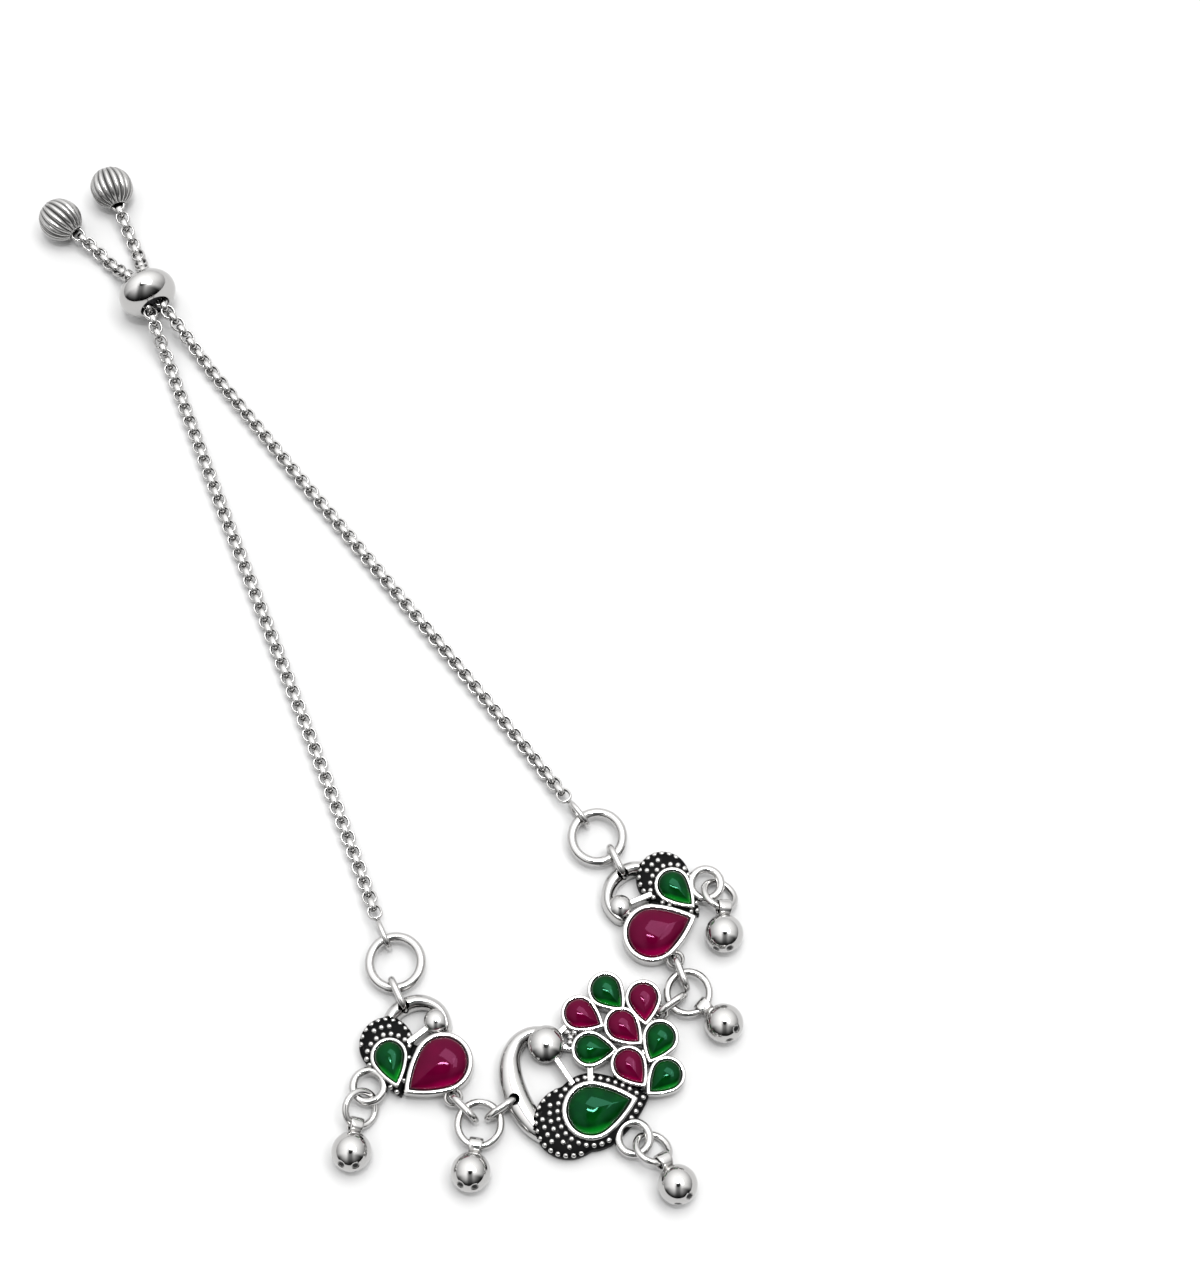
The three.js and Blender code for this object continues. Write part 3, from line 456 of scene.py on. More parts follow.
def loft(rows, wrap=False, start=None, end=None):
    """Closed surface through a grid of points, rows by columns: columns wrap round, each row
    joins the next, and the last joins the first on a ring. On any other shape a fan closes each
    end on a given point or on the row's mean."""
    rows = np.asarray(rows, float)
    count, columns = rows.shape[:2]
    grid = np.arange(count * columns).reshape(count, columns)
    low = grid if wrap else grid[:-1]
    high = np.roll(grid, -1, 0) if wrap else grid[1:]
    quads = np.stack([low, np.roll(low, -1, 1), np.roll(high, -1, 1), high], -1).reshape(-1, 4)
    points = rows.reshape(-1, 3)
    faces = [quads]
    if not wrap:
        first = rows[0].mean(0) if start is None else start
        last = rows[-1].mean(0) if end is None else end
        points = np.vstack([points, first, last])
        near, far = grid[0], grid[-1]
        pole = np.full(columns, count * columns)
        faces.append(np.concatenate([
            np.stack([pole, np.roll(near, -1), near], -1),
            np.stack([pole + 1, far, np.roll(far, -1)], -1)]))
    return outward(points, faces)


def copies(shape, places, axes):
    """Copies of a shape at an array of places, each turned into its own three axes."""
    points, faces = shape
    count = len(points)
    moved = places[:, None] + np.einsum("pk,nkj->npj", points, axes)
    shift = (np.arange(len(places)) * count)[:, None, None]
    return moved.reshape(-1, 3), [(f[None] + shift).reshape(-1, f.shape[1]) for f in faces]


def new_object(name, points, faces):
    """An object in the scene, with a mesh of an array of points and blocks of faces."""
    mesh = bpy.data.meshes.new(name)
    mesh.from_pydata(points.tolist(), [], sum((block.tolist() for block in faces), []))
    obj = bpy.data.objects.new(name, mesh)
    bpy.context.scene.collection.objects.link(obj)
    return obj


def read(collection, name, width, kind=np.float32):
    """A property of all items of a Blender collection, as the rows of an array."""
    values = np.empty(len(collection) * width, kind)
    collection.foreach_get(name, values)
    return values.reshape(-1, width)


class Shapes:
    """Closed shapes added up into one mesh. Each point keeps a painted shade, 0 for bright and 1
    for the painted dark of a crevice, gap or bore, and each face the number of its finish."""

    def __init__(self):
        self.points, self.faces, self.finishes, self.shades = [], [], [], []
        self.count = 0

    def add(self, shape, shade=0.0, finish=0):
        points, faces = shape
        self.points.append(points)
        self.shades.append(np.broadcast_to(shade, len(points)))
        self.faces += [block + self.count for block in faces]
        self.finishes += [np.full(len(block), finish) for block in faces]
        self.count += len(points)

    def piece(self, name, finishes, replaced, slot, crease=38, values=None):
        """The mesh object, which stands for CAD nodes and rides on the anklet's one body."""
        piece = new_object(name, np.concatenate(self.points), self.faces)
        mesh = piece.data
        mesh.polygons.foreach_set("use_smooth", np.ones(len(mesh.polygons), bool))
        mesh.polygons.foreach_set("material_index", np.concatenate(self.finishes))
        mesh.set_sharp_from_angle(angle=math.radians(crease))
        kept = {"shade": np.concatenate(self.shades), **(values or {})}
        for label, numbers in kept.items():
            kind = mesh.attributes.new(label, "FLOAT", "POINT")
            kind.data.foreach_set("value", np.asarray(numbers, np.float32))
        for finish in finishes:
            mesh.materials.append(finish)
        mesh.validate()
        mesh.update()
        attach(piece, "root")
        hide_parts(*replaced)
        return piece


def by_row(numbers, columns):
    """A number for each row of a loft, repeated over its columns and its two end points."""
    numbers = np.asarray(numbers, float)
    return np.concatenate([np.repeat(numbers, columns), numbers[[0, -1]]])


def corners(node):
    """Distinct corner points of a CAD node."""
    points = read(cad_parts[node].data.vertices, "co", 3)
    return np.unique(points.astype(float).round(7), axis=0)


def pose(node):
    """Corner points of a CAD node, their middle, and the directions of their longest, middle and
    shortest spread."""
    points = corners(node)
    middle = points.mean(0)
    directions = np.linalg.eigh(np.cov((points - middle).T))[1][:, ::-1].T
    return points, middle, directions


def through(points, count, wrap=False):
    """Centripetal Catmull-Rom curve through points: between two points it is the cubic whose
    slopes come from the neighbours, each span weighted by the root of its length. The result has
    count points, evenly far apart."""
    points = np.asarray(points, float)
    if wrap:
        line = np.vstack([points[-1], points, points[:2]])
    else:
        line = np.vstack([2 * points[0] - points[1], points, 2 * points[-1] - points[-2]])
    before, start, end, after = line[:-3], line[1:-2], line[2:-1], line[3:]
    gap = [np.sqrt(np.linalg.norm(b - a, axis=1))[:, None]
           for a, b in ((before, start), (start, end), (end, after))]
    leave = ((start - before) / gap[0] - (end - before) / (gap[0] + gap[1])
             + (end - start) / gap[1]) * gap[1]
    arrive = ((end - start) / gap[1] - (after - start) / (gap[1] + gap[2])
              + (after - end) / gap[2]) * gap[1]
    t = np.linspace(0, 1, 33)[:-1, None, None]
    curve = ((2 * t**3 - 3 * t**2 + 1) * start + (t**3 - 2 * t**2 + t) * leave
             + (3 * t**2 - 2 * t**3) * end + (t**3 - t**2) * arrive)
    curve = np.vstack([curve.transpose(1, 0, 2).reshape(-1, points.shape[1]), end[-1]])
    return spaced(curve, count, wrap)


def runs(line):
    """Length of a line up to each of its points."""
    return np.concatenate([[0], np.linalg.norm(np.diff(line, axis=0), axis=1).cumsum()])


def at_runs(line, lengths):
    """Points of a line at given lengths along it."""
    run = runs(line)
    return np.stack([np.interp(lengths, run, column) for column in line.T], -1)


def spaced(line, count, wrap=False, phase=0.0):
    """Points evenly far apart along a fine line. A line that wraps ends where it starts."""
    share = (np.arange(count) + phase) / count if wrap else np.linspace(0, 1, count)
    return at_runs(line, share * runs(line)[-1])


def pear(radius, tip, grow=0.0, count=96):
    """Outline of a pear stone: a round end about the origin and two flatter arcs that meet in a
    tip on +X. Each arc's radius grows by the same length, and the points keep their order."""
    shoulder = math.acos(radius / tip) + math.radians(12)
    near = radius - tip * math.cos(shoulder)
    side = (tip**2 - radius**2 + 2 * radius * near) / (2 * near)
    back = -(side - radius) * polar(shoulder)
    round_run = (math.pi - shoulder) * radius
    side_run = (shoulder - math.asin(-back[1] / side)) * side
    split = round_run / (round_run + side_run)
    share = np.linspace(0, 1, count // 2 + 1)
    on_round = math.pi + (shoulder - math.pi) * np.clip(share / split, 0, 1)
    tip_angle = math.asin(-back[1] / (side + grow))
    on_side = shoulder + (tip_angle - shoulder) * np.clip((share - split) / (1 - split), 0, 1)
    half = np.where(
        (share <= split)[:, None],
        (radius + grow) * polar(on_round), back + (side + grow) * polar(on_side))
    return np.concatenate([half, half[-2:0:-1] * [1, -1]])


def inside(points, outline):
    """Which plan points lie in an outline: a ray to +X crosses it an odd number of times."""
    a, b = outline[None], np.roll(outline, -1, 0)[None]
    x, y = points[:, None, 0], points[:, None, 1]
    crosses = (a[..., 1] > y) != (b[..., 1] > y)
    rise_over = np.where(crosses, b[..., 1] - a[..., 1], 1.0)
    hit = x < a[..., 0] + (b[..., 0] - a[..., 0]) * (y - a[..., 1]) / rise_over
    return (crosses & hit).sum(1) % 2 == 1


class Stone:
    """A pear stone's size, and its place from the CAD node: the corner farthest from the mean is
    the tip, and the round end's middle lies one tip length back from it."""

    def __init__(self, node, kind):
        radius, tip, dome, rim = STONES[kind]
        self.node, self.rim = node, getattr(bpy.context.scene.payal_sizes, rim)
        self.radius, self.tip, self.dome = radius * MM, tip * MM, dome * MM
        plan = corners(node)[:, :2]
        away = plan - plan.mean(0)
        point = np.linalg.norm(away, axis=1).argmax()
        along = unit(away[point])
        self.middle = plan[point] - self.tip * along
        self.turn = math.atan2(along[1], along[0])

    def outline(self, grow=0.0, count=96):
        return self.middle + spin(pear(self.radius, self.tip, grow, count), self.turn)


def rim_shape(stone, sizes):
    """Setting round a stone: one outline after another, out and up the wall, over a rounded lip
    and down inside to the seat. Each row is the stone's outline grown by an offset at a height."""
    wall, top = stone.rim, sizes.rim_height
    outer_lip, inner_lip = 0.42 * wall, 0.3 * wall
    quarter = polar(np.linspace(0, math.pi / 2, 6))
    outer = np.array([wall, top]) + outer_lip * (quarter - 1)
    inner = [0.03 * MM, top] + inner_lip * ([1, -1] - quarter[:, ::-1] * [1, -1])
    seat = top - 0.9 * MM
    profile = [(wall - 0.05 * MM, 0), (wall, 0.06 * MM), *outer, *inner, (0.02 * MM, seat)]
    rows = np.stack([rise(stone.outline(grow), z) for grow, z in profile])
    # Painted shade: the inner lip and seat are darkened to black, for the shade in the gap round
    # the stone.
    shade = np.zeros(len(profile))
    shade[-4:] = [0.3, 0.9, 1.0, 1.0]
    return loft(rows), by_row(shade, rows.shape[1])


def stone_shape(stone, sizes):
    """Cabochon: an upright girdle and a dome. The outline shrinks towards the round end's middle
    by the cosine of an angle while it rises by the sine."""
    girdle = sizes.rim_height - 0.12 * MM
    angle = np.linspace(0, math.pi / 2, 22)[:-1]
    share = np.cos(angle) ** 0.86
    outline = pear(stone.radius, stone.tip, -0.04 * MM)
    rows = [rise(stone.middle + spin(outline, stone.turn), girdle - 1.1 * MM)]
    for wide, up in zip(share, np.sin(angle)):
        plan = stone.middle + spin(outline * wide, stone.turn)
        rows.append(rise(plan, girdle + (stone.dome + 0.12 * MM) * up))
    peak = np.array([*stone.middle, girdle + stone.dome + 0.12 * MM])
    return loft(rows, end=peak), np.concatenate([[0], np.sin(angle)])


def arch(width, height, count=22):
    """Section of a neck: upright walls up to half of the height and a half oval on top."""
    angle = np.linspace(math.pi, 0, count)
    wall = 0.5 * height
    side = np.array([-0.98, -1, *np.cos(angle), 1, 0.98]) * width / 2
    up = wall + (height - wall) * np.sin(angle)
    return side, np.array([0, 0.03 * MM, *up, 0.03 * MM, 0])


def neck_rows(table, base, spread, high, width, height):
    """Neck or hook: the arch carried along the curve through a table's sections. Width and height
    close in a quarter oval over the last twelfth of the curve."""
    sections = [(base[0] + x * spread, base[1] + y * high, wide * width)
                for x, y, wide in table]
    line = through(sections, 90)
    plan, wide = line[:, :2], line[:, 2]
    along = unit(np.gradient(plan, axis=0))
    across = np.stack([-along[:, 1], along[:, 0]], -1)
    left = np.clip(12 * np.linspace(1, 0, len(line)), 0, 1)
    close = np.sqrt(1 - (1 - left) ** 2).clip(0.08)
    side, up = arch(1.0, height)
    rows = plan[:, None] + across[:, None] * (side[None] * (wide * close)[:, None])[..., None]
    heights = up[None] * (0.72 + 0.28 * close)[:, None]
    return rise(rows, heights)


def sink(rows, outline, height):
    """Rows with every point inside an outline brought down to a height."""
    points = rows.reshape(-1, 3).copy()
    under = inside(points[:, :2], outline)
    points[under, 2] = np.minimum(points[under, 2], height)
    return points.reshape(rows.shape)


def bar_shape(start, end, width, top):
    """Straight bar between two plan points: a rounded box section carried along it."""
    along = unit(end - start)
    across = np.array([-along[1], along[0]])
    angle = np.linspace(0, math.pi, 12)
    edge = 0.3 * width
    side = np.array([1, *squared(np.cos(angle), 0.35), -1]) * width / 2
    up = np.array([0, *(top - edge + edge * np.sin(angle) ** 0.6), 0])
    plan = np.linspace(start, end, 3)[:, None] + across * side[None, :, None]
    return loft(rise(plan, up[None]))


def turned_shape(middle, axis, profile, columns=64):
    """Turned body: each row of a profile, distance along the axis and radius, becomes a circle
    round the axis. Rows of no radius close the ends."""
    axis = unit(axis)
    u = unit(np.cross(np.eye(3)[2 if abs(axis[2]) < 0.9 else 0], axis))
    profile = np.asarray(profile, float)
    spokes = circle(columns) @ [u, np.cross(axis, u)]
    return middle + profile[:, None, :1] * axis + profile[:, None, 1:] * spokes


def boss_shape(plan, radius, height):
    """Head: an upright wall, a fine groove and a dome of circles that shrink as they rise."""
    wall = height - 0.5 * radius
    out = np.cos(np.linspace(0, math.pi / 2, 16)[:-1]) * radius
    profile = [(0, radius * 0.99), (0.03 * MM, radius), (wall - 0.2 * MM, radius),
               (wall - 0.12 * MM, radius * 0.95), (wall - 0.04 * MM, radius * 0.985)]
    profile += [(wall + (height - wall) * (1 - (r / radius) ** 2.4), r) for r in out]
    middle = np.array([*plan, 0.0])
    rows = turned_shape(middle, UP, profile)
    shade = np.zeros(len(profile))
    # Painted shade in the fine groove under the dome.
    shade[3] = 0.8
    return loft(rows, end=middle + [0, 0, height]), by_row(shade, rows.shape[1])


def ring_shape(middle, normal, mean, wire, columns=72, sides=20):
    """Round ring: a circle of wire carried round a circle of the mean radius."""
    normal = unit(normal)
    u = unit(np.cross(normal, np.eye(3)[0 if abs(normal[0]) < 0.8 else 1]))
    out = circle(columns) @ [u, np.cross(normal, u)]
    section = circle(sides) * wire / 2
    rows = middle + out[:, None] * (mean + section[None, :, :1]) + normal * section[None, :, 1:]
    return loft(rows, wrap=True)


def oval_shape(middle, along, long, high, wire, grow=0.0):
    """Upright link: a circle of wire carried round two half circles and the straights between
    them, in the plane of a heading and the vertical."""
    end = (high - wire) / 2
    half = (long - wire) / 2 - end
    out = polar(np.linspace(-math.pi / 2, math.pi / 2, 20))
    base = np.repeat([[half, 0.0], [-half, 0.0]], len(out), 0)
    out = np.concatenate([out, -out])
    section = circle(16) * (wire / 2 + grow)
    flat = base[:, None] + out[:, None] * (end + section[None, :, :1])
    level = np.array([*along, 0.0])
    rows = middle + flat @ [level, UP] + section[None, :, 1:] * np.cross(UP, level)
    return loft(rows, wrap=True)


def cut(shape, cutters):
    """A shape less its cutters, by Blender's exact boolean, as triangles in two blocks: those of
    the shape's own surface, and those of the cuts."""
    target = new_object("target", *shape)
    target.data.materials.append(silver())
    made = [target]
    for cutter in cutters:
        tool = new_object("cutter", *cutter)
        # The cutters carry the black finish onto the cut walls, as painted shade.
        tool.data.materials.append(oxide_and_shade())
        made.append(tool)
        modifier = target.modifiers.new(tool.name, "BOOLEAN")
        modifier.operation, modifier.object = "DIFFERENCE", tool
        modifier.solver, modifier.material_mode = "EXACT", "TRANSFER"
    result = target.evaluated_get(bpy.context.evaluated_depsgraph_get()).to_mesh()
    result.calc_loop_triangles()
    points = read(result.vertices, "co", 3).astype(float)
    triangles = read(result.loop_triangles, "vertices", 3, np.int32)
    kinds = read(result.loop_triangles, "material_index", 1, np.int32)[:, 0]
    for obj in made:
        mesh = obj.data
        bpy.data.objects.remove(obj)
        bpy.data.meshes.remove(mesh)
    return points, [triangles[kinds == 0], triangles[kinds == 1]]


def add_cut(shapes, shape, cutters):
    """Adds a cut shape, with the walls of its cuts painted black as the shade inside the holes."""
    points, (own, walls) = cut(shape, cutters)
    start = shapes.count
    shapes.add((points, [own]))
    shapes.faces.append(walls + start)
    shapes.finishes.append(np.ones(len(walls), int))


def link_pose(node):
    """A link's middle, its heading in plan, its length and its height."""
    points, middle, directions = pose(node)
    along = unit(directions[0][:2])
    reach = (points - middle) @ np.array([*along, 0.0])
    return middle, along, np.ptp(reach), np.ptp(points[:, 2])


def eye_cutters(link, toward, sizes):
    """What a link needs cut from a wall: its own wire with room round it, and an upright hole at
    its end on the side of the charm. The hole's middle comes with them."""
    middle, along, long, high = link_pose(link)
    along = along if along @ (toward - middle[:2]) > 0 else -along
    hole = middle[:2] + along * (long / 2 - sizes.link_wire - 0.35 * MM + sizes.eye_radius)
    tall = [rise(hole + circle(40) * sizes.eye_radius, z) for z in (-MM, 5 * MM)]
    room = oval_shape(middle, along, long, high, sizes.link_wire, 0.1 * MM)
    return [loft(tall), room], hole


def ground_levels(sizes):
    """Edge of a dotted ground as two arrays: how far in from the outline, and how high."""
    inset, share = np.array(GROUND_EDGE).T
    return inset * MM, share * sizes.ground_height


def ground_shape(middle, reach, sizes):
    """Dotted ground: rays from a middle reach the outline, and each row lies in from it and rises
    by the edge's levels."""
    inset, high = ground_levels(sizes)
    rays = circle(len(reach))
    rows = [rise(middle + rays * np.maximum(reach - lie, 0.3 * MM)[:, None], z)
            for lie, z in zip(inset, high)]
    return loft(rows, end=np.array([*middle, high[-1]]))


def reach_of(outline, middle, count=240):
    """How far rays from a middle go to an outline, by angle."""
    away = outline - middle
    angle = np.arctan2(away[:, 1], away[:, 0]) % (2 * np.pi)
    order = angle.argsort()
    rays = np.arange(count) * (2 * np.pi / count)
    return np.interp(rays, angle[order], np.linalg.norm(away, axis=1)[order], period=2 * np.pi)


def granules(stone, middle, reach, covers, sizes):
    """Granules wherever they land on the ground and on nothing else: a row along the stone, one on
    the ground's slanted edge, and then more rows round the stone where there is room between.
    Each is a low dome that stands square to the ground under it."""
    rays = np.arange(len(reach)) * (2 * np.pi / len(reach))
    edge = middle + circle(len(reach)) * (reach - sizes.dot_edge)[:, None]
    lines = [stone.outline(stone.rim + sizes.dot_inset + row * sizes.dot_pitch, 240)
             for row in range(GRANULE_ROWS)]
    lines.insert(1, edge)
    places = []
    for row, line in enumerate(lines):
        line = np.vstack([line, line[:1]])
        count = round(runs(line)[-1] / sizes.dot_pitch)
        for spot in spaced(line, count, wrap=True, phase=(row % 2) / 2):
            away = spot - middle
            angle = math.atan2(away[1], away[0])
            lie = np.interp(angle, rays, reach, period=2 * np.pi) - np.linalg.norm(away)
            apart = min((np.linalg.norm(spot - other) for other in places), default=1.0)
            if lie > LIE_SHARE * sizes.dot_edge and apart > APART_SHARE * sizes.dot_pitch:
                places.append(spot)
    places = np.array(places)
    for cover in covers:
        places = places[~inside(places, cover)]
    away = places - middle
    far = np.linalg.norm(away, axis=1)
    lie = np.interp(np.arctan2(away[:, 1], away[:, 0]), rays, reach, period=2 * np.pi) - far
    inset, high = ground_levels(sizes)
    top = slice(2, None)
    height = np.interp(lie, inset[top], high[top])
    slope = (height - np.interp(lie - 0.2 * MM, inset[top], high[top])) / (0.2 * MM)
    normal = unit(rise(away / far[:, None] * np.clip(slope, 0, 1.3)[:, None], 1.0))
    side = unit(np.cross([0, 1.0, 0], normal))
    axes = np.stack([side, np.cross(normal, side), normal], 1)
    bend = np.linspace(-0.3, 1.25, 5)
    dome = [rise(circle(10) * sizes.dot_radius * math.cos(a), sizes.dot_height * math.sin(a))
            for a in bend]
    dot = loft(dome, end=np.array([0, 0, sizes.dot_height]))
    return copies(dot, rise(places, height), axes)


def tail_stones():
    return [Stone(f"tail_stone_{i + 1}", "tail") for i in range(len(TAIL_COLOURS))]


def small_stones(side):
    return Stone(f"{side}_ruby_stone", "side ruby"), Stone(f"{side}_green_stone", "side green")


def add_lug(shapes, hole, root, sizes):
    """Adds a lug: a flat ring round its hole and an arm to what it is soldered to."""
    mean = sizes.eye_radius + 0.21 * MM
    ring = circle(40)
    section = circle(16) * [0.22 * MM, 0.42 * MM]
    middle = np.array([*hole, sizes.ground_height * 0.76])
    rows = (middle + rise(ring, 0.0)[:, None] * (mean + section[None, :, :1])
            + UP * section[None, :, 1:])
    shapes.add(loft(rows, wrap=True))
    shapes.add(bar_shape(hole + unit(root - hole) * mean, root, 1.0 * MM, 1.75 * MM))


def add_neck(shapes, rows, link, toward, centre, reach, sizes):
    """Adds a neck or hook, brought down where it crosses the dotted ground and bored for a link."""
    cutters, _ = eye_cutters(link, toward, sizes)
    edge = centre + circle(len(reach)) * (reach - 0.12 * MM)[:, None]
    add_cut(shapes, loft(sink(rows, edge, 0.6 * sizes.ground_height)), cutters)


def add_loop(shapes, side, sizes):
    """Adds the loop that holds a charm's drop ring, and gives its outline."""
    middle = loop_middle(corners(f"charm_{side}"), f"{side}_drop_ring", sizes)
    mean = (sizes.loop_outer - sizes.loop_wire) / 2
    shapes.add(ring_shape(middle, UP, mean, sizes.loop_wire))
    return middle[:2] + circle(24) * sizes.loop_outer / 2


def lone_piece(name, node, shape, shade=0.0, crease=38):
    """One silver shape as a piece of its own."""
    shapes = Shapes()
    shapes.add(shape, shade)
    shapes.piece(name, [silver()], [node], "silver", crease)


class PieceOperator:
    """Settings that the anklet's operators share."""

    bl_options = {"REGISTER", "UNDO"}


class PAYAL_OT_peacock(PieceOperator, bpy.types.Operator):
    """Add the peacock charm's casting"""

    bl_idname = "payal.peacock"
    bl_label = "Peacock Charm"

    def execute(self, context):
        sizes = context.scene.payal_sizes
        big, tail = Stone("big_stone", "big"), tail_stones()
        shapes = Shapes()
        for stone in (big, *tail):
            shapes.add(*rim_shape(stone, sizes))

        breast = big.middle - [sizes.breast_shift, -sizes.breast_lift]
        centre = big.middle - [0.45 * sizes.breast_shift, 0]
        outlines = (big.outline(big.rim + sizes.ground_margin, OUTLINE_POINTS),
                    breast + circle(OUTLINE_POINTS) * sizes.breast_radius)
        power = OUTLINE_POWER
        reach = sum(reach_of(outline, centre) ** power for outline in outlines) ** (1 / power)
        shapes.add(ground_shape(centre, reach, sizes), finish=1)

        rows = neck_rows(
            NECK, big.middle, sizes.neck_spread, sizes.neck_rise, sizes.neck_width,
            sizes.neck_height)
        add_neck(shapes, rows, "left_centre_link", big.middle, centre, reach, sizes)
        head = big.middle + [HEAD[0] * sizes.neck_spread, HEAD[1] * sizes.neck_rise]
        shapes.add(*boss_shape(head, sizes.head_radius, sizes.head_height))

        self.add_joints(shapes, big, tail, head, sizes)
        covers = [big.outline(big.rim), add_loop(shapes, "centre", sizes)]
        _, hole = eye_cutters("right_centre_link", big.middle, sizes)
        root = (tail[TAIL_LUG[0] - 1].middle + tail[TAIL_LUG[1] - 1].middle) / 2
        add_lug(shapes, hole, root, sizes)

        covers += [stone.outline(stone.rim + 0.15 * MM) for stone in tail]
        shapes.add(granules(big, centre, reach, covers, sizes))
        shapes.piece("peacock_casting", [silver(), oxide_and_shade()], ["charm_centre"], "silver")
        return {"FINISHED"}

    def add_joints(self, shapes, big, tail, head, sizes):
        """Struts, posts and solder beads between the head, the body and the tail. The strut and
        the post stop inside the body."""
        post = tail[5].middle
        bars = [(head, head + 0.6 * (big.middle - head), 0.55, 2.05),
                (post, post + 0.62 * (big.middle - post), 0.65, 2.0),
                (head, tail[2].middle, 0.6, 1.6), (head, post, 0.6, 1.6)]
        for start, end, width, top in bars:
            shapes.add(bar_shape(start, end, width * MM, top * MM))
        for first, second in TAIL_JOINTS:
            ends = tail[first - 1].middle, tail[second - 1].middle
            # Painted shade: the low joints between the tail settings are darkened a quarter.
            shapes.add(bar_shape(*ends, 0.65 * MM, 1.6 * MM), shade=0.25)
        for x, y in SOLDER_BEADS:
            shapes.add(ball_shape(np.array([x, y, 1.9]) * MM, UP, 0.36 * MM, 24, 12))


def loop_middle(points, ring, sizes):
    """Middle of a charm's loop: the loop's outer edge is the casting's farthest reach towards the
    drop ring, and its middle lies half the loop back from it."""
    drop = corners(ring).mean(0)[:2]
    level = points[(points[:, 2] > MM) & (points[:, 2] < 1.9 * MM)][:, :2]
    near = level[np.linalg.norm(level - drop, axis=1) < 0.9 * sizes.loop_outer]
    mean = near.mean(0)
    for _ in range(30):
        away = np.linalg.norm(near - mean, axis=1)
        rim = near[np.abs(away - sizes.loop_outer / 2) < 0.35 * sizes.loop_wire]
        if len(rim) < 5:
            break
        matrix = np.c_[2 * rim, np.ones(len(rim))]
        mean = np.linalg.lstsq(matrix, (rim**2).sum(1), rcond=None)[0][:2]
    return np.array([*mean, 1.45 * MM])


def ball_shape(middle, axis, radius, columns=64, rows=32):
    """Ball: circles round the axis from pole to pole."""
    profile = polar(np.linspace(0, math.pi, rows + 1)[1:-1]) * radius
    axis = unit(axis)
    grid = turned_shape(middle, axis, profile, columns)
    return loft(grid, start=middle + axis * radius, end=middle - axis * radius)


class PAYAL_OT_side_charms(PieceOperator, bpy.types.Operator):
    """Add the castings of the two small charms"""

    bl_idname = "payal.side_charms"
    bl_label = "Side Charms"

    def execute(self, context):
        for side, flip in SIDES.items():
            self.charm(side, flip, context.scene.payal_sizes)
        return {"FINISHED"}

    def charm(self, side, flip, sizes):
        ruby, green = small_stones(side)
        shapes = Shapes()
        for stone in (ruby, green):
            shapes.add(*rim_shape(stone, sizes))

        centre = green.middle - sizes.crown * polar(green.turn)
        radius = green.radius + green.rim + sizes.ground_margin
        tip = green.tip + green.rim + sizes.ground_margin + sizes.crown
        outline = centre + spin(pear(radius, tip, 0.0, OUTLINE_POINTS), green.turn)
        reach = reach_of(outline, centre)
        shapes.add(ground_shape(centre, reach, sizes), finish=1)
        web = bar_shape(ruby.middle, green.middle, 3.2 * MM, sizes.ground_height - 0.3 * MM)
        shapes.add(web, finish=1)

        base = ruby.middle
        rows = neck_rows(
            HOOK, base, flip * sizes.hook_spread, sizes.hook_rise, sizes.hook_width,
            sizes.neck_height)
        add_neck(shapes, rows, f"{side}_neck_link", base, centre, reach, sizes)
        head = base + [flip * SMALL_HEAD[0] * sizes.hook_spread, SMALL_HEAD[1] * sizes.hook_rise]
        shapes.add(*boss_shape(head, sizes.small_head_radius, sizes.small_head_height))
        strut = head + (green.middle - head) * 0.6
        for end, top in ((strut, 2.0), (base, 1.6)):
            shapes.add(bar_shape(head, end, 0.65 * MM, top * MM))

        covers = [green.outline(green.rim), ruby.outline(ruby.rim + 0.15 * MM),
                  add_loop(shapes, side, sizes)]
        _, hole = eye_cutters(f"{side}_charm_link", base, sizes)
        add_lug(shapes, hole, base + (hole - base) * 0.6, sizes)
        shapes.add(granules(green, centre, reach, covers, sizes))
        shapes.piece(f"{side}_charm_casting", [silver(), oxide_and_shade()], [f"charm_{side}"], "silver")


class PAYAL_OT_stones(PieceOperator, bpy.types.Operator):
    """Add the pear cabochons"""

    bl_idname = "payal.stones"
    bl_label = "Stones"

    def execute(self, context):
        stones = [("green", Stone("big_stone", "big")), *zip(TAIL_COLOURS, tail_stones())]
        for side in SIDES:
            stones += zip(("ruby", "green"), small_stones(side))
        for kind, stone in sorted(stones, key=lambda row: row[0]):
            look = material(STONE_LABELS[kind], build_stone(kind))
            self.stone(stone, f"{kind}_stone", look, context.scene.payal_sizes)
        return {"FINISHED"}

    def stone(self, stone, slot, look, sizes):
        """One stone, with the height on its crown and how far each point faces the side where the
        light leaves it, for the painted light there."""
        (points, faces), crown = stone_shape(stone, sizes)
        shapes = Shapes()
        shapes.add((points, faces))
        away = points[:, :2] - stone.middle
        away /= np.maximum(np.linalg.norm(away, axis=1), 1e-9)[:, None]
        # Painted light: every stone is bright towards one fixed heading.
        glow = np.clip(away @ polar(math.radians(GLOW_HEADING)), 0, 1)
        values = {"crown": by_row(crown, 96), "glow": glow}
        values["crown"][-1] = 1.0
        shapes.piece(stone.node.replace("stone", "cabochon"), [look], [stone.node], slot,
                     crease=60, values=values)


class PAYAL_OT_rings(PieceOperator, bpy.types.Operator):
    """Add the round rings"""

    bl_idname = "payal.rings"
    bl_label = "Rings"

    def execute(self, context):
        sizes = context.scene.payal_sizes
        wires = {"centre_drop_ring": sizes.drop_ring_wire}
        for side in SIDES:
            wires[f"{side}_big_ring"] = sizes.big_ring_wire
            wires[f"{side}_connector_ring"] = sizes.connector_wire
            wires[f"{side}_drop_ring"] = sizes.drop_ring_wire
        for node, wire in wires.items():
            points, middle, directions = pose(node)
            mean = np.linalg.norm(points - middle, axis=1).max() - wire / 2
            lone_piece(f"{node}_wire", node, ring_shape(middle, directions[2], mean, wire))
        return {"FINISHED"}


